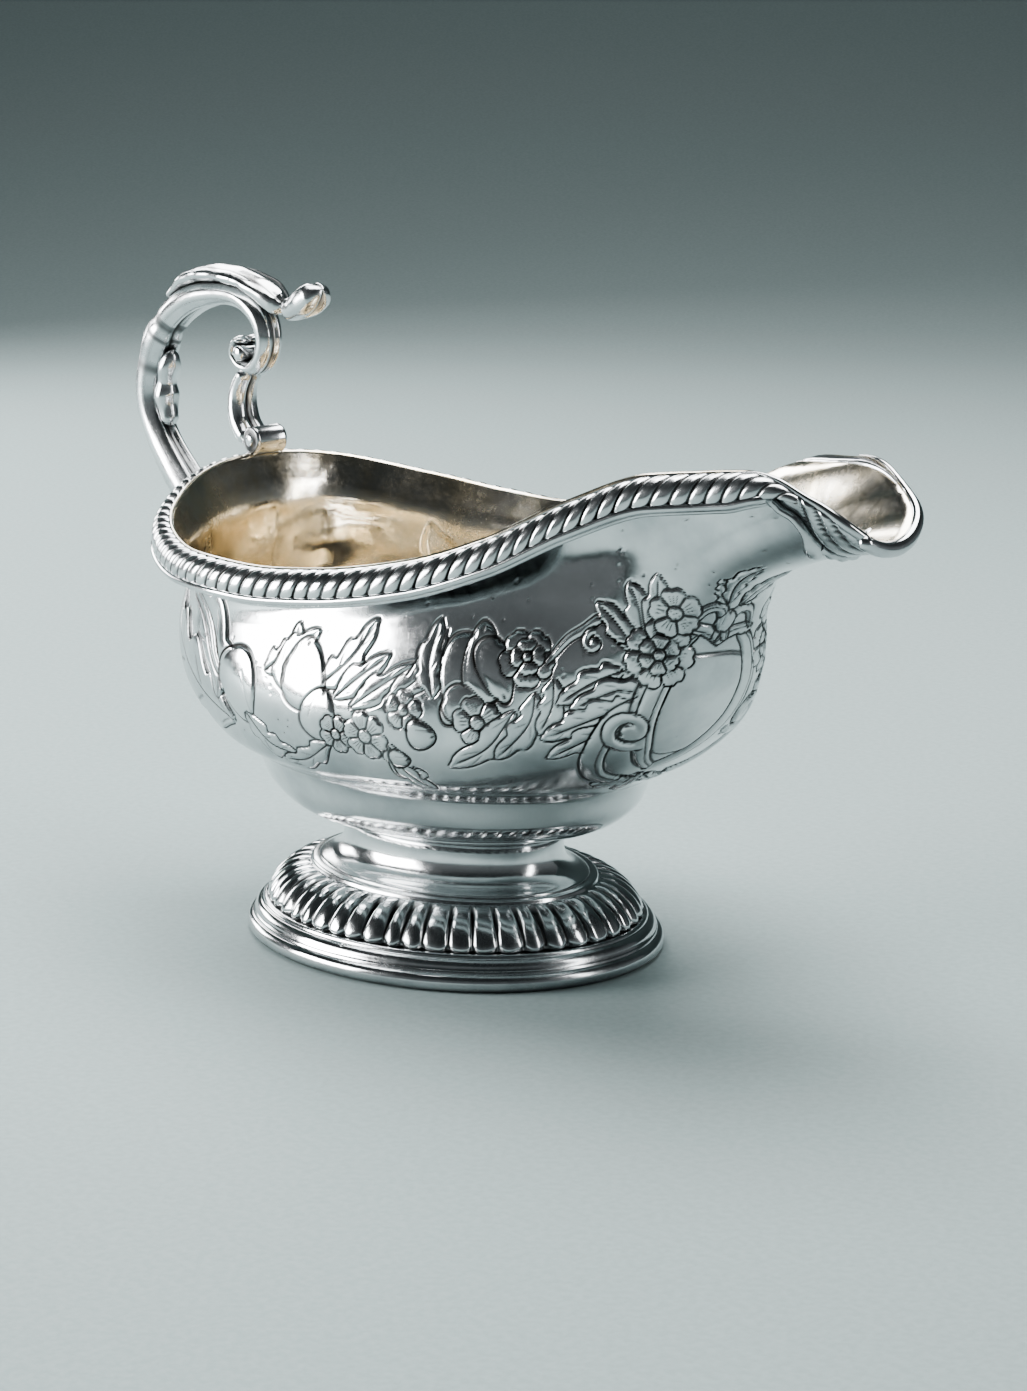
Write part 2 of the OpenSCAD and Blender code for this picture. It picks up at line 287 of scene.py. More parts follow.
class Tree:
    """Short ways to add and join the nodes of a material."""

    def __init__(self, material: bpy.types.Material) -> None:
        """Empties the node tree of a material."""
        material.use_nodes = True
        self.tree = material.node_tree
        self.tree.nodes.clear()

    def add(self, kind: str, links: Optional[dict] = None, **settings: object) -> bpy.types.Node:
        """Adds a node.

        Args:
            kind: Node type without its ShaderNode prefix.
            links: Input name or number to a value, or to an output to link from.
            settings: Properties of the node.

        Returns:
            The new node.
        """
        node = self.tree.nodes.new("ShaderNode" + kind)
        for key, value in settings.items():
            setattr(node, key, value)
        for key, value in (links or {}).items():
            if isinstance(value, bpy.types.NodeSocket):
                self.tree.links.new(value, node.inputs[key])
            else:
                node.inputs[key].default_value = value
        return node

    def math(self, what: str, a: object, b: object = 0.0) -> bpy.types.NodeSocket:
        """One arithmetic step, held between 0 and 1."""
        return self.add("Math", {0: a, 1: b}, operation=what, use_clamp=True).outputs[0]

    def blend(self, share: object, a: object, b: object) -> bpy.types.NodeSocket:
        """A colour between a and b."""
        return self.add("Mix", {0: share, 6: a, 7: b}, data_type="RGBA").outputs[2]

    def noise(self, where: object, scale: float, detail: float,
              roughness: float = 0.5) -> bpy.types.NodeSocket:
        """Soft cloudy values round one half."""
        links = {"Vector": where, "Scale": scale, "Detail": detail, "Roughness": roughness}
        return self.add("TexNoise", links).outputs[0]

    def spread(self, value: object, low: float, high: float, to_low: float,
               to_high: float) -> bpy.types.NodeSocket:
        """A value spread from one range to another."""
        node = self.add("MapRange", {0: value, 1: low, 2: high, 3: to_low, 4: to_high})
        return node.outputs[0]


def opaque(colour: Colour) -> tuple[float, float, float, float]:
    """A colour with full cover."""
    return (*colour, 1.0)


@dataclass(frozen=True)
class SilverFinish:
    """A finish of worn silver."""

    name: str
    bright: Colour = (0.74, 0.75, 0.755)
    shade: Colour = (0.47, 0.49, 0.50)
    gilt: Colour = (0.72, 0.60, 0.40)
    gilt_share: float = 0.0
    # Black laid on the chased lines, crevices and pits, and used as painted shade in the reed grooves.
    oxide_and_painted_shade: Colour = (0.012, 0.011, 0.01)
    oxide_and_shade_share: float = 1.0
    smoothest: float = 0.06
    roughest: float = 0.2
    dents: float = 0.12
    scratches: float = 0.06
    pit_share: float = 0.5
    cloud_scale: float = 42.0
    stain_scale: float = 95.0
    grain_scale: float = 1400.0
    pit_scale: float = 210.0
    dent_scale: float = 130.0
    crevice_reach: float = 0.0028

    def material(self) -> bpy.types.Material:
        """Builds the metal from nodes.

        Returns:
            The material.
        """
        made = bpy.data.materials.new(self.name)
        t = Tree(made)
        place_of = t.add("TexCoord").outputs["Object"]
        clouds = t.noise(place_of, self.cloud_scale, 5.0, 0.6)
        stain = t.noise(place_of, self.stain_scale, 6.0, 0.7)
        grain = t.noise(place_of, self.grain_scale, 3.0)
        pits = self.pits(t, place_of, stain)
        dark = self.tarnish_and_painted_shade(t, stain, pits)

        metal = t.blend(t.spread(clouds, 0.42, 0.66, 0.0, 1.0), opaque(self.bright), opaque(self.shade))
        if self.gilt_share > 0:
            patch = t.math("MULTIPLY", t.spread(stain, 0.38, 0.62, 0.25, 1.0), self.gilt_share)
            metal = t.blend(patch, metal, opaque(self.gilt))
        colour = t.blend(dark, metal, opaque(self.oxide_and_painted_shade))

        rough = t.spread(clouds, 0.35, 0.68, self.smoothest, self.roughest)
        rough = t.math("ADD", rough, t.spread(grain, 0.3, 0.8, 0.0, 0.07))
        rough = t.math("ADD", rough, t.math("MULTIPLY", dark, 0.3))
        shader = t.add("BsdfPrincipled", {"Base Color": colour, "Roughness": rough, "Metallic": 1.0,
                                          "Normal": self.wear(t, place_of, pits)})
        t.add("OutputMaterial", {0: shader.outputs[0]})
        return made

    def pits(self, t: Tree, place_of: object, stain: object) -> bpy.types.NodeSocket:
        """Small pits, gathered where the stain is strong.

        Args:
            t: Node tree of the material.
            place_of: Place on the piece.
            stain: The stain's values.

        Returns:
            How deep the pits are, from 0 to 1.
        """
        links = {"Vector": place_of, "Scale": self.pit_scale, "Randomness": 1.0}
        cells = t.add("TexVoronoi", links).outputs["Distance"]
        gathered = t.spread(stain, 0.55, 0.66, 0.0, 1.0)
        return t.math("MULTIPLY", t.math("MULTIPLY", t.spread(cells, 0.05, 0.085, 1.0, 0.0), gathered),
                      self.pit_share)

    def tarnish_and_painted_shade(self, t: Tree, stain: object, pits: object) -> bpy.types.NodeSocket:
        """Black tarnish in the chased lines, the crevices and the pits, and painted shade in the grooves between
        the rim's reeds.

        Args:
            t: Node tree of the material.
            stain: The stain's values.
            pits: How deep the pits are.

        Returns:
            How black the metal is, from 0 to 1.
        """
        mark = t.spread(t.add("Attribute", attribute_name=MARK).outputs["Fac"], 0.08, 0.7, 0.0, 1.0)
        room = t.add("AmbientOcclusion", {"Distance": self.crevice_reach}, samples=6).outputs["AO"]
        crevice = t.math("POWER", t.spread(room, 0.72, 0.18, 0.0, 1.0), 1.3)
        dark = t.math("MAXIMUM", mark, t.math("MULTIPLY", crevice, 0.8))
        dark = t.math("MAXIMUM", dark, pits)
        dark = t.math("MULTIPLY", dark, t.spread(stain, 0.25, 0.6, 0.72, 1.0))
        return t.math("MULTIPLY", dark, self.oxide_and_shade_share)

    def wear(self, t: Tree, place_of: object, pits: object) -> bpy.types.NodeSocket:
        """Shallow dents, two ways of fine scratches and the pits, over the shape of the piece.

        Args:
            t: Node tree of the material.
            place_of: Place on the piece.
            pits: How deep the pits are.

        Returns:
            The normal.
        """
        long_way = t.add("Mapping", {"Vector": place_of, "Scale": (300.0, 2600.0, 900.0),
                                     "Rotation": (0.4, 0.2, 0.5)}).outputs[0]
        cross_way = t.add("Mapping", {"Vector": place_of, "Scale": (2400.0, 260.0, 1100.0),
                                      "Rotation": (0.3, 0.7, 0.2)}).outputs[0]
        long_lines = t.spread(t.noise(long_way, 1.0, 2.0), 0.62, 0.74, 0.0, 0.5)
        cross_lines = t.spread(t.noise(cross_way, 1.0, 2.0), 0.64, 0.76, 0.0, 0.5)
        waves = t.noise(place_of, self.dent_scale, 2.0)
        dents = t.add("Bump", {"Strength": self.dents, "Distance": 0.0006, "Height": waves}).outputs[0]
        fine = t.add("Bump", {"Strength": self.scratches, "Distance": 0.0001, "Normal": dents,
                              "Height": t.math("ADD", long_lines, cross_lines)}).outputs[0]
        return t.add("Bump", {"Strength": 0.5, "Distance": 0.0002, "Height": pits, "Normal": fine},
                     invert=True).outputs[0]


@dataclass(frozen=True)
class ClothFinish:
    """The plain pale paper that the boat stands on."""

    name: str = "pale_paper"
    light: Colour = (0.39, 0.47, 0.47)
    deep: Colour = (0.35, 0.43, 0.43)

    def material(self) -> bpy.types.Material:
        """Builds the paper from nodes.

        Returns:
            The material.
        """
        made = bpy.data.materials.new(self.name)
        t = Tree(made)
        place_of = t.add("TexCoord").outputs["Object"]
        fibre = t.noise(place_of, 700.0, 5.0)
        colour = t.blend(t.spread(fibre, 0.35, 0.65, 0.0, 1.0), opaque(self.light), opaque(self.deep))
        tooth = t.add("Bump", {"Strength": 0.12, "Distance": 0.0003, "Height": fibre}).outputs[0]
        shader = t.add("BsdfPrincipled", {"Base Color": colour, "Roughness": 0.85, "Normal": tooth,
                                          "Specular IOR Level": 0.2})
        t.add("OutputMaterial", {0: shader.outputs[0]})
        return made


class Finish(Enum):
    """The finishes of the boat, each for one material slot."""

    RAISED = SilverFinish("raised_silver_finish")
    GILT = SilverFinish("gilt_silver_finish", bright=(0.9, 0.88, 0.84), shade=(0.76, 0.72, 0.64),
                        gilt=(0.84, 0.7, 0.44), gilt_share=0.6, smoothest=0.08, roughest=0.3, dents=0.4)
    WIRE = SilverFinish("wire_silver_finish", pit_share=0.1, dents=0.08)
    CAST = SilverFinish("cast_silver_finish", smoothest=0.1, roughest=0.26, dents=0.2)
    HANDLE = SilverFinish("handle_silver_finish", smoothest=0.1, roughest=0.27, dents=0.3, pit_share=0.7)
    FOOT = SilverFinish("foot_silver_finish", smoothest=0.07, roughest=0.2, dents=0.1)


def finish_material(finish: Finish) -> bpy.types.Material:
    """The material of a finish, built once."""
    return bpy.data.materials.get(finish.value.name) or finish.value.material()


# ---------------------------------------------------------------- the shape of the bowl

@dataclass
class BowlSurface:
    """The outer face of the bowl: u goes round in degrees from the lip, v up from 0 to 1 at the rim."""

    sheet: float = 1.0
    lip_angle: float = 36.0
    lip_seam: float = 0.9
    nose_out: float = 2.0
    nose_up: float = 1.0
    rim_line: Array = field(default_factory=lambda: np.array([
        [-1, 1.23, 9.4], [-0.83, 1.24, 4], [-0.69, 1.2, 1.4], [-0.53, 1.145, 0.1], [-0.315, 1.05, 0],
        [-0.1, 0.94, 1.3], [0.12, 0.83, 4.6], [0.29, 0.745, 9.5], [0.44, 0.64, 16.2], [0.6, 0.54, 21.4],
        [0.77, 0.48, 22.6], [0.9, 0.54, 18.4], [0.97, 0.66, 14.6], [1, 0.72, 12.6]]))
    levels: Array = field(default_factory=lambda: np.array([
        [34, 42.5, 43, 31.5, 0, 0], [38, 49.5, 51, 37.5, 0.05, 0], [46, 56, 63, 41.5, 0.15, 0.05],
        [54, 57.5, 70, 41.5, 0.35, 0.2], [61, 54.5, 73, 40, 0.6, 0.45], [66, 53.5, 80, 39.5, 0.85, 0.72],
        [69.5, 55.5, 95, 41.5, 1, 0.93], [72, 57, 108, 44, 1, 1]]))
    near_turn: float = 0.3
    near_rise: float = 0.003
    bulb: Array = field(default_factory=lambda: np.array([
        [0, 22.4, 8, 8, 6], [11, 22.4, 19, 19, 14.5], [17, 22.6, 25, 25, 19], [25.5, 24, 33, 33, 24.6],
        [33, 28, 39.5, 39.5, 28.6], [38.5, 33, 42, 42, 30.6], [40, 34, 42.5, 43, 31.5]]))

    def point(self, u: Array, v: Array) -> Array:
        """Points of the outer face, in millimetres.

        Args:
            u: Places round the bowl.
            v: Places up the bowl.

        Returns:
            A point for each place.
        """
        u, v = np.broadcast_arrays(np.asarray(u, float), np.asarray(v, float))
        level = along(self.levels, v)
        across, over = np.cos(np.radians(u)), np.sin(np.radians(u))
        breadth, rise = smooth(self.rim_line, across, 1), smooth(self.rim_line, across, 2)
        nose = self.nose(across)
        return np.stack([
            (level[..., 2] - level[..., 1]) / 2 + (level[..., 2] + level[..., 1]) / 2 * across
            + level[..., 4] * self.nose_out * nose,
            level[..., 3] * over * (1 - level[..., 4] + level[..., 4] * breadth),
            level[..., 0] + level[..., 5] * (rise + self.nose_up * nose)], -1)

    @staticmethod
    def nose(across: Array) -> Array:
        """How much the sides of the lip swell, from the cosine of the place round the bowl."""
        angle = np.degrees(np.arccos(np.clip(across, -1, 1)))
        return ramp(angle, 0, 22) * (1 - ramp(angle, 32, 48))

    def bulb_point(self, u: Array, share: Array) -> Array:
        """Points of the lower bulb, from its middle at share 0 to the foot of the belly at share 1.

        Args:
            u: Places round the bowl.
            share: Shares of the way out from the middle.

        Returns:
            A point for each place.
        """
        u, share = np.broadcast_arrays(np.asarray(u, float), np.asarray(share, float))
        reach = share * self.bulb[-1, 0]
        z, back, front, half = (smooth(self.bulb, reach, k) for k in (1, 2, 3, 4))
        across, over = np.cos(np.radians(u)), np.sin(np.radians(u))
        return np.stack([(front - back) / 2 + (front + back) / 2 * across, half * over, z], -1)

    def lie(self, u: Array, v: Array, point: Optional[Callable] = None) -> tuple[Array, Array, Array]:
        """How the face lies.

        Args:
            u: Places round the bowl.
            v: Places up the bowl.
            point: Which face to measure, the outer face if None.

        Returns:
            Outward directions, directions along the face, and directions up the face.
        """
        point = point or self.point
        u, v = np.broadcast_arrays(np.asarray(u, float), np.asarray(v, float))
        run = point(u + self.near_turn, v) - point(u - self.near_turn, v)
        climb = point(u, np.minimum(v + self.near_rise, 1)) - point(u, np.maximum(v - self.near_rise, 0))
        out = unit(np.cross(run, climb))
        run = unit(run)
        return out, run, np.cross(out, run)

    def lip_edge(self, u: Array) -> Array:
        """Height at which the pouring lip begins."""
        share = np.minimum(np.abs(u) / self.lip_angle, 1)
        return self.lip_seam + (1 - self.lip_seam) * share ** 3

    def ridge(self, u: Array) -> Array:
        """Points of the rim's edge."""
        return self.point(u, np.ones_like(np.asarray(u, float)))

    def ridge_out(self, u: Array) -> Array:
        """Level directions out from the rim.

        Args:
            u: Places round the bowl.

        Returns:
            A direction for each place.
        """
        u = np.asarray(u, float)
        top = np.ones_like(u)
        run = self.point(u + self.near_turn, top) - self.point(u - self.near_turn, top)
        return unit(np.stack([run[..., 1], -run[..., 0], 0 * u], -1))

    def ridge_end(self, u: Array) -> Array:
        """Directions in which the sheet ends at the rim."""
        return self.lie(u, np.ones_like(np.asarray(u, float)))[2]


# ---------------------------------------------------------------- chased ornament

Spot = tuple[float, float]


@dataclass
class Chasing:
    """Raised and chased ornament laid on the face of the bowl, each piece over the ones before it."""

    surface: BowlSurface
    u: Array
    v: Array
    edge_width: float = 0.35
    line_width: float = 0.17
    line_depth: float = 0.2
    flatness: float = 0.54
    shield_at: float = -4.0
    seed: int = 7

    def __post_init__(self) -> None:
        """Measures the plain face and starts with no ornament."""
        self.points = self.surface.point(self.u, self.v)
        self.out, self.run, self.climb = self.surface.lie(self.u, self.v)
        self.raised = np.zeros(self.u.shape)
        self.lines = np.zeros(self.u.shape)
        self.draw = np.random.default_rng(self.seed)

    def near(self, middle: Array, reach: float) -> tuple[Array, Array]:
        """Points of the face within reach of a place."""
        return np.nonzero(np.sum((self.points - middle) ** 2, -1) < reach * reach)

    def lay(self, spots: tuple[Array, Array], inside: Array, body: Array, lines: Array,
            outline: float = 1.0) -> None:
        """Lays one piece of ornament.

        Args:
            spots: Points of the face round it.
            inside: Distance inside its edge, negative outside.
            body: Its height.
            lines: Its own chased lines, from 0 to 1.
            outline: Strength of the line round it.
        """
        share = ramp(inside, -0.05, self.edge_width)
        self.raised[spots] = self.raised[spots] * (1 - share) + self.flatness * body * share
        kept = self.lines[spots] * (1 - share) + lines * share
        self.lines[spots] = np.maximum(kept, outline * bell(inside + 0.18, self.line_width))

    def local(self, spot: Spot, reach: float) -> tuple[tuple[Array, Array], Array, Array]:
        """Flat coordinates round a place.

        Args:
            spot: The place as (u, v).
            reach: How far to look.

        Returns:
            The points near it, and their distances along and up the face.
        """
        u, v = np.array(spot[0]), np.array(spot[1])
        middle = self.surface.point(u, v)
        _, run, climb = self.surface.lie(u, v)
        spots = self.near(middle, reach)
        away = self.points[spots] - middle
        return spots, away @ run, away @ climb

    def flower(self, spot: Spot, radius: float, petals: int = 5, turn: float = 0.0,
               height: float = 0.42) -> None:
        """A flower with veined petals round a button.

        Args:
            spot: Its middle.
            radius: Its radius in millimetres.
            petals: Number of petals.
            turn: Turn in radians.
            height: Height of the petals.
        """
        spots, x, y = self.local(spot, radius * 1.6)
        far, angle = np.hypot(x, y), np.arctan2(y, x) - turn
        part = np.mod(angle * petals / (2 * np.pi), 1)
        hump = np.sin(np.pi * part)
        edge = radius * (0.72 + 0.28 * hump ** 0.5 - 0.07 * bell(part - 0.5, 0.09))
        share = np.clip(far / edge, 0, 1)
        body = height * (0.45 + 0.55 * hump ** 0.6 * np.sin(np.pi * np.clip(share, 0.12, 0.95)) ** 0.6)
        groove_tarnish_and_shade = np.minimum(part, 1 - part) * 2 * np.pi / petals * far
        lines = bell(groove_tarnish_and_shade, 0.22) * ramp(share, 0.25, 0.4)
        for vein in (0.32, 0.5, 0.68):
            lines = np.maximum(lines, 0.5 * bell((part - vein) * 2 * np.pi / petals * far, 0.12)
                               * ramp(share, 0.38, 0.45) * ramp(share, 0.84, 0.7))
        button = 0.3 * radius
        dome = np.sqrt(np.clip(1 - (far / button) ** 2, 0, 1))
        body = np.where(far < button, height * (0.6 + 0.6 * dome), body)
        lines = np.maximum(lines * (far > button), bell(far - button, 0.2))
        seeds = 0.35 * (np.sin(9 * x / radius * 3) * np.sin(9 * y / radius * 3) > 0.3)
        lines = np.maximum(lines, seeds * (far < button * 0.8))
        self.lay(spots, edge - far, body, lines)

    def fruit(self, spot: Spot, long: float, wide: float, turn: float = 0.0, height: float = 0.9) -> None:
        """A round or pear-shaped fruit.

        Args:
            spot: Its middle.
            long: Half its length.
            wide: Half its width.
            turn: Turn in radians.
            height: How far it stands out.
        """
        spots, x, y = self.local(spot, max(long, wide) * 1.6)
        along_it = (x * math.cos(turn) + y * math.sin(turn)) / long
        across = (-x * math.sin(turn) + y * math.cos(turn)) / wide * (1 + 0.28 * along_it)
        share = np.hypot(along_it, across)
        body = height * np.sqrt(np.clip(1 - share ** 2, 0, 1)) ** 0.8
        lines = 0.7 * bell(np.hypot(along_it - 0.86, across) * wide, 0.35)
        crease = bell((across - 0.45 - 0.1 * along_it) * wide, 0.14) * (along_it > -0.3)
        lines = np.maximum(lines, 0.35 * crease)
        self.lay(spots, (1 - share) * min(long, wide), body, lines)

    def follow(self, path: Array, reach: float) -> tuple[tuple[Array, Array], Array, Array, float]:
        """Measures the face along a path.

        Args:
            path: Places (u, v) along it.
            reach: How far to look on both sides.

        Returns:
            Points near it, their shares of its length, their distances to its left, and its length.
        """
        rows = along(np.asarray(path, float), np.linspace(0, 1, 12 * len(path)))
        line = even(np.column_stack([self.surface.point(rows[:, 0], rows[:, 1]), rows]), 0.35)
        centre, u, v = line[:, :3], line[:, 3], line[:, 4]
        out, _, _ = self.surface.lie(u, v)
        ahead = unit(np.gradient(centre, axis=0))
        left = unit(np.cross(out, ahead))
        length = (len(centre) - 1) * 0.35
        spots = self.near(centre.mean(0), np.linalg.norm(centre - centre.mean(0), axis=1).max() + reach)
        here = self.points[spots]
        nearest = np.argmin(((here[:, None] - centre[None]) ** 2).sum(-1), axis=1)
        away = here - centre[nearest]
        share = (nearest * 0.35 + (away * ahead[nearest]).sum(-1)) / length
        return spots, share, (away * left[nearest]).sum(-1), length

    def leaf(self, path: Sequence[Spot], width: float, lobes: float = 3.0, height: float = 0.4) -> None:
        """A leaf with a midrib, veins and notched sides.

        Args:
            path: Places along its midrib, from stalk to tip.
            width: Half its width at the widest.
            lobes: Notches on each side.
            height: Height of its two halves.
        """
        spots, share, off, _ = self.follow(path, width * 1.3)
        s = np.clip(share, 0, 1)
        broad = width * np.sin(np.pi * s ** 0.8) ** 0.7
        tooth = np.mod(s * lobes - 0.1 * np.sign(off), 1)
        edge = broad * (0.66 + 0.34 * ramp(tooth, 0.0, 0.75) - 0.3 * ramp(tooth, 0.82, 1.0))
        inside = np.minimum(edge - np.abs(off), np.minimum(share, 1 - share) * 60)
        side = np.clip(np.abs(off) / np.maximum(broad, 0.2), 0, 1)
        body = height * (0.4 + 0.6 * np.sin(np.pi * np.clip(side, 0.04, 0.96)) ** 0.7)
        vein = np.mod(s * lobes - side * 0.8, 1)
        veined = ramp(side, 0.1, 0.2) * (1 - ramp(side, 0.5, 0.75))
        midrib = bell(off, 0.16) * (1 - ramp(share, 0.8, 0.95))
        lines = np.maximum(0.4 * bell(np.minimum(vein, 1 - vein), 0.06) * veined, 0.85 * midrib)
        self.lay(spots, inside, body, lines)

    def scroll(self, path: Sequence[Spot], start: float, end: float, height: float = 0.6,
               ridge: bool = True) -> None:
        """A raised band that narrows at both ends, with a chased line along it.

        Args:
            path: Places along its middle.
            start: Half its width where it starts.
            end: Half its width where it ends.
            height: Its height.
            ridge: Whether a line runs along it.
        """
        spots, share, off, _ = self.follow(path, max(start, end) * 1.3)
        wide = (start + (end - start) * np.clip(share, 0, 1)) * (
            0.4 + 0.6 * np.sin(np.pi * np.clip(share, 0, 1)) ** 0.6)
        inside = np.minimum(wide - np.abs(off), np.minimum(share, 1 - share) * 50 + 0.4)
        body = height * np.sqrt(np.clip(1 - (off / wide) ** 2, 0, 1)) ** 0.7
        lines = 0.7 * bell(off - 0.35 * wide, 0.15) if ridge else np.zeros(off.shape)
        self.lay(spots, inside, body, lines)

    def volute(self, spot: Spot, radius: float, start: float, turns: float, hand: int, width: float,
               height: float = 0.7) -> None:
        """A curled end that winds into a button.

        Args:
            spot: Its middle.
            radius: Its outer radius.
            start: Angle in degrees where the curl begins.
            turns: Turns it makes.
            hand: 1 to wind one way and -1 for the other.
            width: Half the width of the band.
            height: Its height.
        """
        spots, x, y = self.local(spot, radius + width * 2)
        far, angle = np.hypot(x, y), np.arctan2(y, x)
        wind = np.mod((angle - math.radians(start)) * hand, 2 * np.pi) / (2 * np.pi)
        pitch = (radius - width * 0.8) / max(turns, 0.5)
        best = np.full(far.shape, 9.0)
        for lap in range(int(turns) + 1):
            done = wind + lap
            best = np.where(done <= turns, np.minimum(best, np.abs(far - (radius - pitch * done))), best)
        best = np.minimum(best, far - width * 0.4)
        wide = width * 0.8
        body = height * np.sqrt(np.clip(1 - (best / wide) ** 2, 0, 1)) ** 0.7
        self.lay(spots, wide - best, body, np.zeros(far.shape))

    def matted(self, path: Sequence[Spot], width: float, count: int) -> None:
        """Small punch marks scattered beside the ornament.

        Args:
            path: Places along the middle of the matted ground.
            width: Half its width.
            count: Number of marks.
        """
        rows = along(np.asarray(path, float), self.draw.random(count))
        for u, v in rows + self.draw.normal(0, 1, (count, 2)) * [width * 0.8, width * 0.016]:
            spots, x, y = self.local((float(u), float(v)), 1.0)
            free = self.raised[spots] < 0.12
            self.lines[spots] = np.maximum(self.lines[spots], 0.45 * bell(np.hypot(x, y), 0.24) * free)

    @staticmethod
    def places(side: int) -> Callable[..., list[Spot]]:
        """A way to give places on one side as on the near side without their sign.

        Args:
            side: -1 for the near side and 1 for the far one.

        Returns:
            A function that puts such places on their side.
        """
        return lambda *spots: [(side * u, v) for u, v in spots]

    def garland(self, side: int) -> None:
        """The flowers, fruit, leaves and scrolls of one side, from the back to the lip.

        Args:
            side: -1 for the near side and 1 for the far one.
        """
        at = self.places(side)
        self.matted(at((22, 0.84), (40, 0.76), (60, 0.66)), 7.0, 26)
        self.matted(at((14, 0.62), (30, 0.5), (50, 0.42), (80, 0.36), (110, 0.4)), 5.0, 130)
        self.folded_leaf(side)
        self.pears(side)
        self.small_flowers(side)
        self.open_bud(side)
        self.stem(side)
        self.acanthus(side)

    def folded_leaf(self, side: int) -> None:
        """The folded leaf and the fruit at the back.

        Args:
            side: -1 for the near side and 1 for the far one.
        """
        at = self.places(side)
        self.leaf(at((104, 0.24), (116, 0.3), (130, 0.42), (141, 0.58), (144, 0.68)), 8.0, 4, 1.0)
        self.leaf(at((108, 0.3), (109, 0.42), (115, 0.54), (127, 0.66)), 5.6, 3, 1.0)
        self.scroll(at((127, 0.66), (121, 0.6), (114, 0.5), (109, 0.4), (101, 0.28)), 1.3, 0.6, 0.7)
        self.fruit(at((102, 0.36))[0], 6.6, 5.2, 1.2 * side, 1.1)
        self.leaf(at((96, 0.42), (92, 0.5), (93, 0.6)), 2.8, 3)
        self.leaf(at((99, 0.28), (93, 0.2), (85, 0.18)), 3.0, 3)

    def pears(self, side: int) -> None:
        """The pears and the leaves round them.

        Args:
            side: -1 for the near side and 1 for the far one.
        """
        at = self.places(side)
        self.leaf(at((83, 0.4), (79, 0.49), (78, 0.6)), 3.0, 3)
        self.leaf(at((89, 0.36), (92, 0.46), (88, 0.57)), 3.0, 3)
        self.fruit(at((87, 0.43))[0], 6.2, 4.9, 1.5, 0.7)
        self.fruit(at((81.0, 0.32))[0], 4.6, 3.8, 1.2, 0.7)
        self.leaf(at((79, 0.37), (76, 0.43), (72, 0.49)), 2.4, 2)
        self.leaf(at((75, 0.35), (71, 0.41), (66.5, 0.46)), 2.3, 2)
        self.leaf(at((77, 0.24), (83, 0.17), (90, 0.15)), 2.4, 3)

    def small_flowers(self, side: int) -> None:
        """The small flowers and berries in the middle.

        Args:
            side: -1 for the near side and 1 for the far one.
        """
        at = self.places(side)
        self.leaf(at((69, 0.37), (65, 0.43), (64, 0.53)), 2.4, 3)
        self.leaf(at((65, 0.26), (60, 0.19), (54, 0.17)), 2.6, 3)
        self.leaf(at((63, 0.22), (57, 0.16), (51, 0.11)), 1.7, 2)
        self.flower(at((76, 0.27))[0], 3.5, 5, 0.4)
        self.flower(at((70, 0.275))[0], 4.4, 6, 0.2)
        self.flower(at((65, 0.35))[0], 3.5, 5, 0.8)
        self.fruit(at((59.5, 0.29))[0], 2.6, 2.5, 0, 0.8)
        self.fruit(at((56, 0.35))[0], 2.2, 2.0, 0, 0.8)
        self.fruit(at((61.5, 0.22))[0], 1.8, 1.7, 0, 0.7)

    def open_bud(self, side: int) -> None:
        """The open bud, the rose and the leaves under them.

        Args:
            side: -1 for the near side and 1 for the far one.
        """
        at = self.places(side)
        self.leaf(at((61, 0.38), (64.5, 0.46), (66, 0.56)), 2.6, 3, 0.5)
        self.fruit(at((58.5, 0.44))[0], 6.2, 3.6, 1.9 * side, 0.7)
        self.fruit(at((55.0, 0.455))[0], 6.6, 3.4, 1.57, 0.8)
        self.fruit(at((52.2, 0.44))[0], 5.4, 2.8, 1.2 * side, 0.7)
        self.fruit(at((54.0, 0.36))[0], 4.2, 3.0, 0.5 * side, 0.7)
        self.flower(at((50.5, 0.33))[0], 4.4, 5, 1.2, 0.6)
        self.leaf(at((45, 0.36), (46, 0.27), (51, 0.21)), 2.8, 2)
        self.leaf(at((43, 0.4), (41, 0.33), (43, 0.24)), 2.6, 3)
        self.leaf(at((41, 0.43), (38.5, 0.37), (38, 0.31)), 2.3, 3)
        self.flower(at((47.5, 0.465))[0], 4.9, 5, 0.3, 0.6)
        self.flower(at((47.4, 0.468))[0], 3.0, 4, 0.9, 0.9)

    def stem(self, side: int) -> None:
        """The stem towards the lip, with its curl and leaves.

        Args:
            side: -1 for the near side and 1 for the far one.
        """
        at = self.places(side)
        self.scroll(at((43.5, 0.46), (41.5, 0.5), (39, 0.52), (36, 0.545), (32.5, 0.52), (28, 0.5)),
                    0.6, 0.7, 0.35, False)
        self.volute(at((36.2, 0.5))[0], 1.9, 90, 0.8, -side, 0.6, 0.4)
        self.leaf(at((28, 0.51), (33, 0.54), (39, 0.57)), 2.3, 2, 0.3)
        self.leaf(at((26, 0.53), (30, 0.58), (35, 0.62)), 2.3, 2, 0.3)
        self.leaf(at((25, 0.54), (26.5, 0.6), (30, 0.655)), 2.2, 2, 0.3)
        self.leaf(at((28, 0.46), (33, 0.43), (38, 0.38)), 2.5, 3, 0.35)

    def acanthus(self, side: int) -> None:
        """The acanthus leaves and the band beside the shield.

        Args:
            side: -1 for the near side and 1 for the far one.
        """
        at = self.places(side)
        self.leaf(at((21, 0.41), (27, 0.42), (35, 0.37)), 2.6, 3, 0.6)
        self.leaf(at((21, 0.39), (28, 0.36), (37, 0.3)), 3.2, 4, 0.6)
        self.leaf(at((21.5, 0.36), (27, 0.31), (33, 0.25)), 2.6, 3, 0.6)
        self.scroll(at((20.5, 0.4), (24.5, 0.35), (23.5, 0.26), (19, 0.2), (13, 0.17), (7, 0.16)),
                    2.2, 1.6, 0.8)

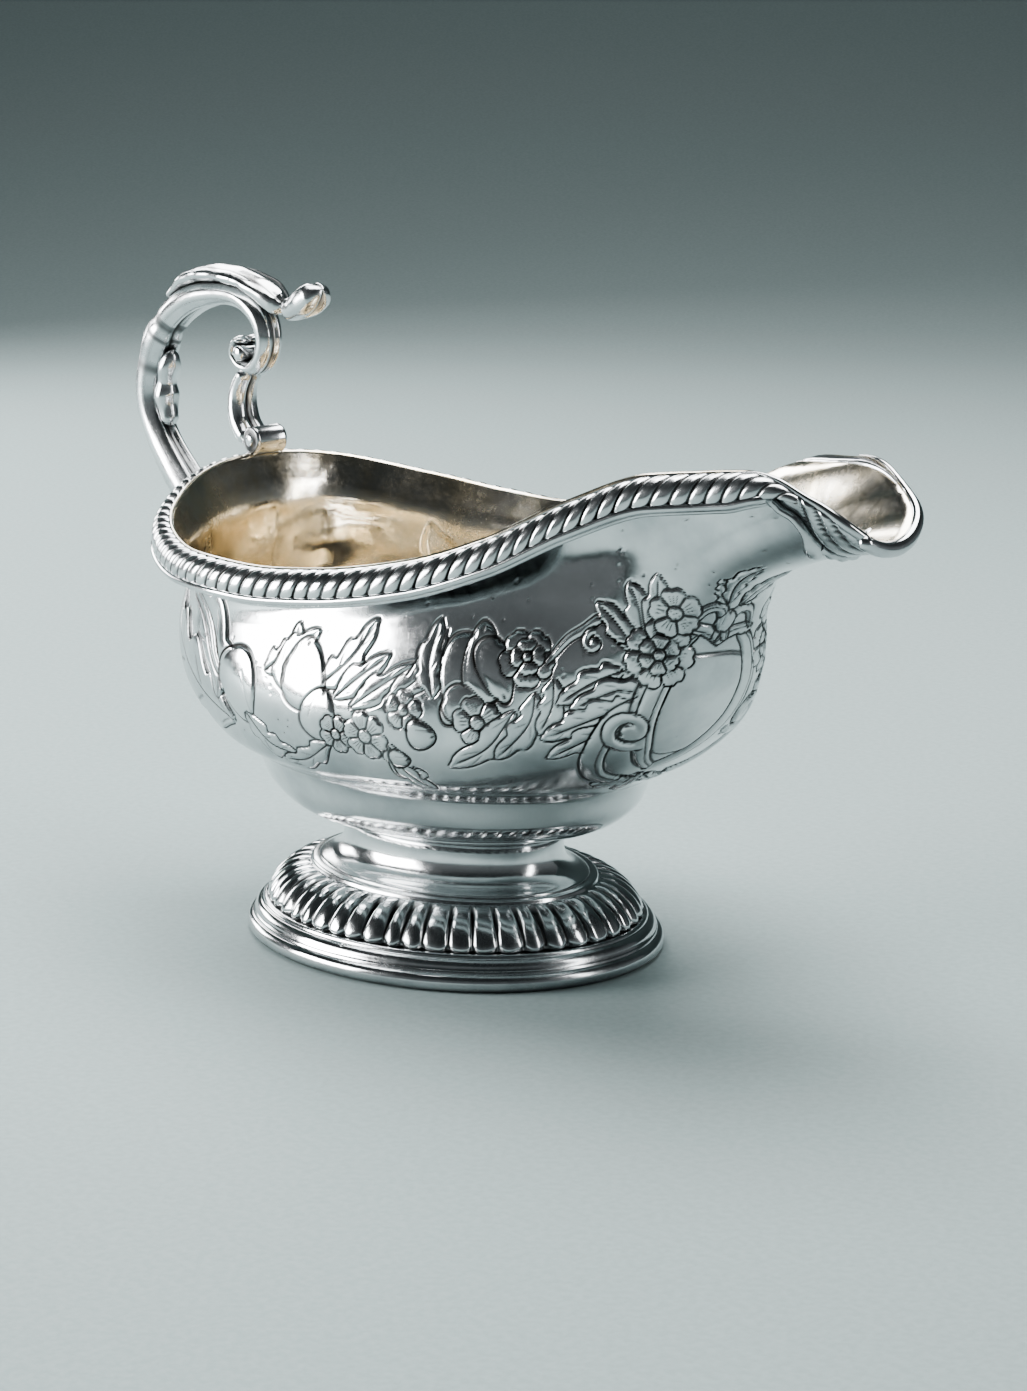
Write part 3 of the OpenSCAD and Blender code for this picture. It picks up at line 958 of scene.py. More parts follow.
    def posy(self, side: int) -> None:
        """The scroll and flowers that lie over one side of the shield's frame.

        Args:
            side: -1 for the near side and 1 for the far one.
        """
        self.volute((side * 18.6 - 1, 0.33), 4.2, 90 + 150 * side, 1.2, side, 1.25, 1.0)
        self.flower((side * 20.6, 0.5), 5.8, 7, 0.5, 0.55)
        self.flower((side * 20.6, 0.5), 3.4, 6, 0.1, 0.8)
        self.flower((side * 20.6, 0.59), 4.3, 5, 0.1, 0.45)

    def cartouche(self) -> None:
        """The plain shield under the lip, in a frame of scrolls."""
        middle = self.shield_at
        spots, x, y = self.local((middle, 0.37), 17.0)
        squareness = 2.6
        wide = 11.4 * (1 - 0.5 * np.clip(-y / 11.0, 0, 1) ** 1.6)
        far = (np.abs(x / wide) ** squareness + np.abs(y / 10.8) ** squareness) ** (1 / squareness)
        inside = (1 - far) * 7.0
        self.lay(spots, inside, np.full(far.shape, 0.3), np.zeros(far.shape), 0.6)
        for side in (-1, 1):
            def at(*spots: Spot) -> list[Spot]:
                """The places to one side of the shield."""
                return [(middle + side * 0.9 * u, v) for u, v in spots]
            self.scroll(at((9, 0.56), (13.4, 0.52), (15.6, 0.44), (14.8, 0.36), (11, 0.29), (6, 0.235),
                           (-1, 0.2)), 1.9, 1.5, 0.8)
            self.scroll(at((-1, 0.54), (4, 0.565), (9.5, 0.57), (14, 0.56)), 1.1, 0.9, 0.6)
            self.leaf(at((3, 0.64), (7, 0.68), (12, 0.7)), 1.8, 4, 0.6)
            self.leaf(at((3, 0.65), (6, 0.71), (6.5, 0.77)), 1.7, 4, 0.6)
            self.scroll(at((12, 0.57), (9, 0.62), (4, 0.63), (1, 0.59), (2, 0.55)), 0.7, 1.1, 0.8)
            self.volute(at((1.5, 0.155))[0], 1.7, 90, 1.0, side, 0.6, 0.8)
        self.fruit((middle, 0.6), 2.0, 1.7, 1.57, 0.8)
        self.leaf([(middle, 0.17), (middle, 0.12), (middle, 0.06)], 2.0, 3, 0.6)
        for side in (-1, 1):
            self.leaf([(middle + side * u, v) for u, v in ((2, 0.17), (7, 0.14), (12, 0.15))], 1.8, 4, 0.6)

    def relief(self) -> Array:
        """Height of the ornament over the plain face, chased lines included."""
        return self.raised - self.line_depth * self.lines


def soften(field_of: Array, times: int) -> Array:
    """A grid of values blurred, closed round its second direction.

    Args:
        field_of: The grid.
        times: How many times to blur it.

    Returns:
        The blurred grid.
    """
    for _ in range(times):
        field_of = (np.roll(field_of, 1, 1) + 2 * field_of + np.roll(field_of, -1, 1)) / 4
        padded = np.concatenate([field_of[:1], field_of, field_of[-1:]])
        field_of = (padded[:-2] + 2 * padded[1:-1] + padded[2:]) / 4
    return field_of


@dataclass
class Bowl:
    """The raised bowl with its pouring lip, chased outside and gilt inside."""

    surface: BowlSurface
    columns: int = 1480
    outer_rows: int = 232
    bulb_rows: int = 34
    inner_rows: int = 58
    waist: float = 0.4
    roll_height: float = 0.85
    roll_start: float = 99.6
    roll_pitch: float = 2.7
    rolls: float = 2.6
    wear: float = 0.75

    def lip_rolls(self, u: Array, v: Array) -> tuple[Array, Array]:
        """Height of the rolls that run round under the lip, and the marks between them.

        Args:
            u: Places round the bowl.
            v: Places up the bowl.

        Returns:
            Heights in millimetres, and marks from 0 to 1.
        """
        x = self.surface.point(u, v)[..., 0]
        place_at = (x - self.roll_start) / self.roll_pitch
        low = ramp(v, self.surface.lip_edge(u) - 0.04, self.surface.lip_edge(u)) * ramp(np.abs(u), 34, 27)
        size = low * ramp(place_at, -0.1, 0.15) * ramp(place_at, self.rolls + 0.1, self.rolls)
        dent = np.abs(place_at - np.round(place_at))
        height = self.roll_height * (np.abs(np.sin(np.pi * place_at)) ** 0.6 - 0.25)
        return size * height, size * bell(dent, 0.13)

    def places_round(self) -> Array:
        """Places round the bowl that lie evenly along its waist."""
        fine = np.linspace(-180, 180, 3601)
        length = lengths(self.surface.point(fine, self.waist + 0 * fine))
        return np.interp(np.linspace(0, length[-1], self.columns, endpoint=False), length, fine)

    def build(self) -> bpy.types.Object:
        """Makes the bowl.

        Returns:
            The piece.
        """
        around = self.places_round()
        heights = np.interp(np.linspace(0, 1, self.outer_rows), [0, 0.09, 0.86, 1], [0, 0.06, 0.74, 1])
        u, v = np.meshgrid(around, heights)
        work = Chasing(self.surface, u, v)
        for side in (1, -1):
            work.garland(side)
        work.cartouche()
        for side in (1, -1):
            work.posy(side)
        relief = work.relief() * ramp(v, 0, 0.03)
        rolls, dents = self.lip_rolls(u, v)
        outer = work.points + work.out * (relief + rolls)[..., None]

        low_u, low_s = np.meshgrid(around, np.linspace(0.12, 1, self.bulb_rows))
        low = self.surface.bulb_point(low_u, low_s)
        low_out, _, _ = self.surface.lie(low_u, np.clip(low_s, 0.02, 0.99), self.surface.bulb_point)

        pick = np.linspace(self.outer_rows - 1, 0, self.inner_rows).round().astype(int)
        hollow = soften(work.raised, 6)[pick]
        hammered = 0.16 * np.sin(u[pick] * 0.31) * np.sin(v[pick] * 31) * ramp(v[pick], 0.8, 0.5)
        worn = ramp(u[pick], 18, 34) * ramp(u[pick], 100, 78) * ramp(v[pick], 0.75, 1.0)
        sheet = self.surface.sheet * (1 - self.wear * worn)
        inner = work.points[pick] + work.out[pick] * (hollow * 1.6 + hammered - sheet)[..., None]
        end = self.surface.ridge_end(around)
        rim_top = (outer[-1] + inner[0]) / 2 + end * 0.2
        low_inner = (low - low_out * self.surface.sheet)[::-1][1:]
        low_inner[-1] = low_inner[-1] * [0.5, 0.5, 1]
        rings = np.concatenate([low[:-1], outer, rim_top[None], inner, low_inner[1:]])
        marks = np.zeros(rings.shape[:2])
        crease = self.bulb_rows - 1
        marks[crease:crease + self.outer_rows] = np.clip(work.lines * 1.25 + dents, 0, 1)
        marks[crease:crease + 3] = 0.25
        marks[self.bulb_rows + self.outer_rows:][:self.inner_rows] = soften(work.lines, 3)[pick] * 0.45
        skin = loft(rings, marks)
        piece = place("chased_bowl", skin, finish_material(Finish.RAISED),
                      ["bowl", "pouring_lip"])
        self.gild(piece, low[:-1].shape[0] + self.outer_rows)
        return piece

    def gild(self, piece: bpy.types.Object, first_ring: int) -> None:
        """Gives the faces inside the gilt finish.

        Args:
            piece: The bowl.
            first_ring: Ring at which the inside begins.
        """
        mesh = piece.data
        mesh.materials.append(finish_material(Finish.GILT))
        quads = (len(mesh.polygons) - 2 * self.columns) // self.columns
        which = np.zeros(len(mesh.polygons), np.int32)
        which[first_ring * self.columns:quads * self.columns] = 1
        which[-self.columns:] = 1
        mesh.polygons.foreach_set("material_index", which)


@dataclass
class Lip:
    """The rolled edge of the pouring lip and the beaded collar under it."""

    surface: BowlSurface
    reach: float = 42.0
    thick: float = 1.3
    usual: float = 0.85
    thin: float = 0.45
    front: float = 9.5
    collar_reach: float = 11.5
    collar_size: float = 0.85
    collar_beads: int = 5

    def build(self) -> None:
        """Makes the rolled edge and the collar."""
        u = np.linspace(-self.reach, self.reach, 420)
        out, _, _ = self.surface.lie(u, np.ones_like(u))
        heavy = ramp(u, -self.front - 1.5, -self.front) * ramp(u, 20, 0)
        size = self.thin + (self.usual - self.thin) * ramp(np.abs(u), 34, 14)
        size = size + (self.thick - self.usual) * heavy
        size = size * (0.25 + 0.75 * ramp(np.abs(u), self.reach, self.reach - 8))
        depth = self.surface.sheet * (0.5 - 0.8 * heavy)
        centre = (self.surface.ridge(u) - out * depth[:, None]
                  + self.surface.ridge_end(u) * (size * 0.4)[:, None])
        roll = tube(centre, size, 18)
        place("lip_rolled_edge", roll, finish_material(Finish.WIRE), ["lip_roll"])
        u = np.linspace(-self.collar_reach, self.collar_reach, 90)
        seam = self.surface.lip_edge(u)
        out, _, _ = self.surface.lie(u, seam)
        turn = np.linspace(0, 2 * np.pi * self.collar_beads, len(u))
        bead = self.collar_size * (0.86 + 0.14 * np.cos(turn))
        collar = tube(self.surface.point(u, seam) + out * 0.35, bead, 14)
        place("lip_collar_bead", collar, finish_material(Finish.CAST), ["lip_collar"])


@dataclass
class RimBorder:
    """One half of the gadrooned border under the rim, with the wire below it."""

    surface: BowlSurface
    side: int
    out: float = 3.0
    depth: float = 3.3
    pitch: float = 3.2
    slant: float = 1.1
    groove: float = 0.72
    bottom: float = 118.0
    rows: int = 28
    steps: int = 18
    wire: float = 0.72
    settle: float = 1.0
    front: float = 29.0
    back: float = 179.7

    def size(self, u: Array) -> Array:
        """Share of its full size that the border has."""
        return 0.28 + 0.72 * ramp(np.abs(u), self.front, 42)

    def columns(self) -> tuple[Array, Array]:
        """Places round the rim and the lengths to them."""
        fine = np.linspace(self.back, self.front, 3000)
        length = lengths(self.surface.ridge(fine))
        spots = np.linspace(0, length[-1], int(length[-1] / self.pitch * self.steps))
        return self.side * np.interp(spots, length, fine), spots

    def build(self) -> None:
        """Makes the lobed border and the wire."""
        u, length = self.columns()
        ridge, out, size = self.surface.ridge(u), self.surface.ridge_out(u), self.size(u)
        w = np.linspace(0, 1, self.rows)
        turn = np.radians(-22 + (22 + self.bottom) * w)
        uneven = 0.05 * np.sin(length / 7.3) + 0.04 * np.sin(length / 3.1)
        lobe_at = np.mod((length / self.pitch + uneven)[:, None] - self.slant * (0.5 - w[None]), 1)
        across = np.abs(2 * lobe_at - 1)
        foot = ramp(w, 0.85, 1.0)[None]
        lobe = np.clip(1 - across ** (2.8 + 0.6 * w[None] - 1.4 * foot), 0, 1) ** 0.6
        reach = self.out - self.groove * (1 - lobe) * (0.85 + 0.7 * ramp(w, 0.45, 0.1))[None]
        inner_lap = np.where(turn < 0, 1.9 * np.sin(turn) * (1 - 0.2 * w), 0)[None]
        over = inner_lap + reach * np.sin(np.maximum(turn, 0))[None]
        fall = -self.depth + reach * self.depth / self.out * np.cos(turn * (turn > 0))[None] + 0.5
        fall = fall - 0.35 * (turn < 0) * (turn / turn[0]) ** 2
        settle = self.settle * ramp(np.abs(u), 74, 52)[:, None]
        fall = fall - (settle if self.side > 0 else 0 * settle)
        up = np.array([0, 0, 1.0])
        body = (ridge[:, None] + (size[:, None] * over)[..., None] * out[:, None]
                + (size[:, None] * fall)[..., None] * up)
        drop = 5.2 / np.maximum(np.linalg.norm(
            self.surface.point(u, 1 + 0 * u) - self.surface.point(u, 6 / 7 + 0 * u), axis=-1) * 7, 1) * size
        hidden = []
        for share in (1.0, 0.55, 0.2):
            normal, _, _ = self.surface.lie(u, 1 - drop * share)
            hidden.append(self.surface.point(u, 1 - drop * share) - 0.45 * normal)
        rings = np.concatenate([body, np.stack(hidden, 1)], 1)
        marks = np.zeros(rings.shape[:2])
        # Darkens the grooves between the reeds, more at their foot by the wire: tarnish in the grooves plus painted
        # shade where the lobes shadow them.
        groove_tarnish_and_shade = 1.3 * ramp(across, 0.76, 0.92) + 0.4 * foot * ramp(across, 0.6, 0.9)
        marks[:, :self.rows] = np.clip(groove_tarnish_and_shade, 0, 1)
        marks[:, :self.rows] *= ramp(size, 0.35, 0.8)[:, None] * 0.3 + 0.7
        name = "left" if self.side > 0 else "right"
        place(f"rim_reeds_{name}", loft(rings, marks), finish_material(Finish.CAST),
              [f"rim_gadroon_{name}"])
        self.build_wire(name)

    def build_wire(self, name: str) -> None:
        """Makes the wire, which swells into an oval drop beside the lip.

        Args:
            name: Side of the boat.
        """
        fine = np.linspace(self.back, 7.0, 900)
        u = self.side * fine
        size = self.size(u)
        bend = math.radians(self.bottom)
        clear = self.out * size * math.sin(bend) - 0.2
        high = self.surface.ridge(u) + self.surface.ridge_out(u) * clear[:, None]
        high[:, 2] -= self.depth * size * (1 - math.cos(bend)) - 0.5 + self.wire * 0.3
        v = np.interp(fine, [6.5, 12.8, 19.8, 24.2, 29.5, 34], [0.872, 0.895, 0.92, 0.932, 0.93, 0.89])
        normal, _, _ = self.surface.lie(u, v)
        low = self.surface.point(u, v) + normal * self.wire * 0.6
        step = 0.5
        path = even(low + (high - low) * ramp(fine, 27, 37)[:, None], step)
        left = np.linspace(len(path) * step, 0, len(path))
        radius = self.wire * (1 + 1.35 * bell(left - 3.3, 2.3)) * np.sqrt(np.clip(left / 1.6, 0.03, 1))
        below = path[: int(len(path) * 0.93)] - [0, 0, 0.8]
        here = np.interp(np.arange(len(below)), np.linspace(0, len(path), len(u)), u)
        fillet = tube(below - self.surface.ridge_out(here), np.full(len(below), 0.45), 10)
        place(f"rim_bead_wire_{name}", join([tube(path, radius, 14), fillet]), finish_material(Finish.WIRE),
              [f"rim_wire_{name}"])


# ---------------------------------------------------------------- handle

class Section(Enum):
    """Cross-sections of the handle's members."""

    MOULDED = "two ridges along the outer face"
    LEAF = "a midrib with veined and notched sides"
    BUD = "two plump lobes with a cleft"
    STRANDS = "two round strands side by side"
    PLAIN = "a plump smooth oval"


@dataclass
class Member:
    """One member of the handle, swept along a line in the middle plane."""

    name: str
    node: str
    line: Sequence[Sequence[float]]
    half_width: float
    section: Section
    lobes: float = 6.0
    notch: float = 0.15
    knots: Sequence[tuple[float, float, float]] = ()
    waves: tuple[float, float] = (0.05, 5.0)
    step: float = 0.4
    sides: int = 40

    def rings(self, back: float, top: float) -> tuple[Array, Array]:
        """Rings of points along the member and their marks.

        Args:
            back: Where the back of the rim is along the boat.
            top: Height of the back of the rim.

        Returns:
            The rings and the marks of their points.
        """
        rows = even(along(np.asarray(self.line, float), np.linspace(0, 1, 400)), self.step)
        s = np.linspace(0, 1, len(rows))[:, None]
        zero = np.zeros(len(rows))
        centre = np.stack([rows[:, 0] + back, zero, rows[:, 1] + top], -1)
        ahead = unit(np.gradient(centre, axis=0))
        face = np.stack([-ahead[:, 2], zero, ahead[:, 0]], -1)
        turn = np.linspace(0, 2 * np.pi, self.sides, endpoint=False)[None]
        x = np.sign(np.cos(turn)) * np.abs(np.cos(turn)) ** 0.85
        z = np.sign(np.sin(turn)) * np.abs(np.sin(turn)) ** 0.85
        thick = rows[:, 2:3] * (1 + self.waves[0] * np.sin(2 * np.pi * self.waves[1] * s + 0.6))
        wide = rows[:, 3:4] * self.half_width * (1 + self.waves[0] * np.cos(2 * np.pi * self.waves[1] * s))
        for spot, gain, reach in self.knots:
            swell = 1 + gain * bell(s - spot, reach)
            thick, wide = thick * swell, wide * swell
        x, z, marks = self.carve(s, x * np.ones_like(s), z * np.ones_like(s), np.abs(np.sin(turn)))
        to_end = np.minimum(s, 1 - s) * (len(rows) * self.step)
        close = 0.04 + 0.96 * np.sqrt(np.clip(to_end / np.maximum(rows[:, 2:3], 0.3), 0, 1))
        points = (centre[:, None] + (thick * z * close)[..., None] * face[:, None]
                  + (wide * x * close)[..., None] * np.array([0, 1.0, 0]))
        if self.section is Section.MOULDED:
            for spot, gain, reach in self.knots:
                marks = np.maximum(marks, 0.6 * bell(np.abs(s - spot) - reach * 1.5, reach * 0.4))
        return points, marks

    def carve(self, s: Array, x: Array, z: Array, facing: Array) -> tuple[Array, Array, Array]:
        """Carves the section.

        Args:
            s: Shares along the member.
            x: Sideways shares of the outline.
            z: Outward shares of the outline.
            facing: How far each point looks out of or into the curve.

        Returns:
            The carved outline and the marks of its points.
        """
        outer = (z > 0) * facing
        if self.section is Section.MOULDED:
            ridges = -np.cos(2 * np.pi * x)
            z = z * (1 + 0.2 * ridges * facing)
            marks = 0.75 * bell(x, 0.12) * facing + 0.5 * bell(np.abs(x) - 0.92, 0.07) * facing
        elif self.section is Section.LEAF:
            tooth = np.mod(s * self.lobes, 1)
            x = x * (1 - self.notch * ramp(tooth, 0.5, 1.0) * np.abs(x) ** 2)
            vein = np.mod(s * self.lobes - np.abs(x) * 0.7, 1)
            cut = bell(np.minimum(vein, 1 - vein), 0.13) * ramp(np.abs(x), 0.1, 0.3)
            z = z * (1 + 0.25 * bell(x, 0.22) * outer - self.notch * cut * outer
                     - 0.16 * bell(np.abs(x) - 0.5, 0.12) * outer)
            marks = 0.5 * cut * outer + 0.6 * bell(np.abs(x) - 0.5, 0.06) * outer
        elif self.section is Section.BUD:
            cleft = bell(x, 0.14) * ramp(s, 0.3, 0.55)
            z = z * (1 - 0.7 * cleft)
            marks = 0.95 * cleft * facing
        elif self.section is Section.PLAIN:
            z = z * (1 + 0.25 * (1 - np.abs(x)) * facing)
            marks = np.zeros(x.shape)
        else:
            cleft = bell(x, 0.14)
            z = z * (1 - 0.4 * cleft)
            marks = 0.9 * cleft * facing
        return x, z, np.clip(marks, 0, 1)


@dataclass
class Handle:
    """The double-scroll handle with its leaves."""

    surface: BowlSurface
    back: float = -57.0
    top: float = 81.4
    stem: float = 3.4
    leaf: float = 4.6

    def members(self) -> list[Member]:
        """The members of the handle, each standing for one solid."""
        return [
            Member("handle_main_scroll", "handle_back_scroll", [
                [-3.4, -24.4, 2.3, .95], [-9, -20.6, 2.6, 1], [-17.5, -14.5, 3, 1], [-25.2, -8.7, 3.2, 1],
                [-30, -4.3, 3.2, 1], [-33.7, .2, 3.1, 1], [-36, 4.9, 2.8, 1], [-36.4, 9.8, 2.7, 1],
                [-35, 14.8, 2.7, 1], [-32, 20, 2.8, 1], [-27, 24.7, 2.6, 1], [-19.9, 28, 2.2, 1],
                [-11.5, 29.4, 2, .95], [-4.3, 29, 1.9, .9], [.5, 26.6, 1.9, .85], [2.7, 23, 1.8, .8],
                [2.2, 19.2, 1.7, .8], [-.6, 16.3, 1.5, .8], [-4.2, 16.4, 1.2, .8], [-6, 18.6, .9, .85],
                [-4.7, 21, .8, .9], [-2.4, 21.2, .7, .9]], self.stem, Section.MOULDED,
                knots=((0.1, 0.1, 0.05), (0.49, 0.16, 0.03), (0.525, -0.1, 0.012))),
            Member("handle_inner_leaf", "handle_stem_leaf", [
                [-30.5, 2, 1, .3], [-31.2, 5, 1.6, .46], [-31.7, 8, 1.8, .52], [-31.5, 10.6, 1.6, .46],
                [-30.8, 13, 1.7, .5], [-29.9, 15.4, 1.3, .4], [-29.3, 17.2, .8, .24]], self.leaf,
                Section.PLAIN, waves=(0.08, 2.6)),
            Member("handle_top_leaf", "handle_flying_leaf", [
                [-29, 27.6, .5, .35], [-21, 31.6, 1.3, .8], [-11.7, 33.1, 1.4, 1], [-3.4, 32.6, 1.5, 1],
                [2.2, 31, 1.7, .85], [6.2, 28.6, 2.1, .6], [8.4, 28.1, 2.1, .55]], self.leaf, Section.LEAF,
                lobes=3, notch=0.05, knots=((0.9, 0.1, 0.04),)),
            Member("handle_split_bud", "handle_leaf_bud", [
                [8.4, 27.9, 2, .5], [12, 28.3, 2.3, .58], [15.4, 29.7, 2.7, .7], [18, 31.1, 2.6, .7],
                [20.2, 32.3, 1.6, .55]], self.leaf, Section.BUD, waves=(0.03, 2.0)),
            Member("handle_front_strands", "handle_front_stem", [
                [-2.6, 15.6, 1.2, .75], [-4.6, 13.6, 1.6, .8], [-5.9, 11, 1.8, .85], [-6.1, 8.2, 1.9, .9],
                [-5.4, 5.6, 2, .95], [-3.6, 3.6, 2, 1], [-1, 2.2, 1.5, 1]], self.stem, Section.STRANDS,
                waves=(0.015, 2.0)),
        ]

    def build(self) -> None:
        """Makes every member, the rolled block on the rim and the leaf on the back of the bowl."""
        for member in self.members():
            skins = [loft(*member.rings(self.back, self.top))]
            if member.name == "handle_main_scroll":
                skins += [self.eye(), *self.spurs()]
            place(member.name, join(skins), finish_material(Finish.HANDLE), [member.node])
        self.build_block()
        self.build_terminal()

    def eye(self) -> Skin:
        """The round boss that the main scroll curls into."""
        wide = np.array([-3.5, -3.45, -3.3, -3.0, -2.6, 2.6, 3.0, 3.3, 3.45, 3.5])
        size = np.array([0.05, 0.7, 1.15, 1.42, 1.5, 1.5, 1.42, 1.15, 0.7, 0.05])
        return loft(self.drum((-3.1, 18.9), wide, size, 40))

    def drum(self, middle: Spot, wide: Array, size: Array, sides: int, sag: float = 0.0) -> Array:
        """Rings of a short bar that lies across the handle.

        Args:
            middle: Distance of its middle along and above the back of the rim.
            wide: Sideways place of each ring.
            size: Radius of each ring.
            sides: Points in each ring.
            sag: Share by which its underside bulges.

        Returns:
            The points of the rings.
        """
        turn = np.linspace(0, 2 * np.pi, sides, endpoint=False)
        curl = 1 + sag * np.clip(-np.sin(turn), 0, 1) ** 2
        x = self.back + middle[0] + size[:, None] * np.cos(turn) * curl
        z = self.top + middle[1] + size[:, None] * np.sin(turn) * curl
        return np.stack([x, np.broadcast_to(wide[:, None], x.shape), z], -1)

    def spurs(self) -> list[Skin]:
        """The short strands that tie the foot of the main scroll to the rim."""
        lines = (
            [[-22.5, -9.6, 1.6, .6], [-16.5, -9.2, 2.2, .9], [-10.5, -7.8, 2.3, 1], [-5.6, -4.9, 2.2, 1.1],
             [-2.6, -1.6, 1.6, 1.1]],
            [[-10, -19.6, 1.4, .9], [-6.2, -16, 1.8, 1.1], [-4.4, -11, 1.8, 1.1], [-3.6, -6, 1.4, 1]])
        made = [Member("spur", "", line, self.stem, Section.MOULDED, waves=(0.02, 1.0)) for line in lines]
        return [loft(*member.rings(self.back, self.top)) for member in made]

    def build_block(self) -> None:
        """Makes the rolled block that the front stem stands in."""
        half = np.array([2.7, 3.0, 3.3, 3.5, 3.55, 3.8, 3.95, 4.0])
        wide = np.concatenate([-half[::-1], half])
        size = np.array([0.05, 0.7, 1.05, 1.2, 1.9, 2.4, 2.6, 2.5, 2.5, 2.6, 2.4, 1.9, 1.2, 1.05, 0.7, 0.05])
        rings = self.drum((1.1, 2.9), wide, size, 48, 0.12)
        groove = np.where(np.isin(np.abs(wide), [3.5, 3.55]), 0.7, 0.0)
        marks = groove[:, None] * np.ones(rings.shape[:2])
        place("handle_rolled_block", loft(rings, marks), finish_material(Finish.HANDLE),
              ["handle_rim_scroll"])

    def build_terminal(self) -> None:
        """Makes the leaf that joins the handle to the back of the bowl."""
        s, w = np.meshgrid(np.linspace(-1, 1, 70), np.linspace(-1, 1, 90), indexing="ij")
        tall = np.sqrt(1 - 0.9 * s * s) * (1 - 0.07 * np.abs(np.sin(3.5 * np.pi * s)))
        u, v = 180 + 17 * s, 0.43 + 0.15 * tall * w
        out, _, _ = self.surface.lie(u, v)
        rib = np.abs(s)
        vein = np.mod(w * 2.5 - rib * 1.2, 1)
        cut = bell(np.minimum(vein, 1 - vein), 0.1) * ramp(rib, 0.05, 0.2)
        height = 0.4 + 1.3 * tall * (1 - w * w) - 0.3 * cut - 0.35 * bell(rib, 0.05)
        face = self.surface.point(u, v) + out * height[..., None]
        base = self.surface.point(u, v) + out * 0.05
        rings = np.concatenate([face, base[:, ::-1]], 1)
        marks = np.concatenate([0.7 * cut + 0.8 * bell(rib, 0.04), np.zeros_like(cut)], 1)
        place("handle_back_leaf", loft(rings, marks), finish_material(Finish.HANDLE),
              ["handle_terminal_leaf"])


# ---------------------------------------------------------------- foot

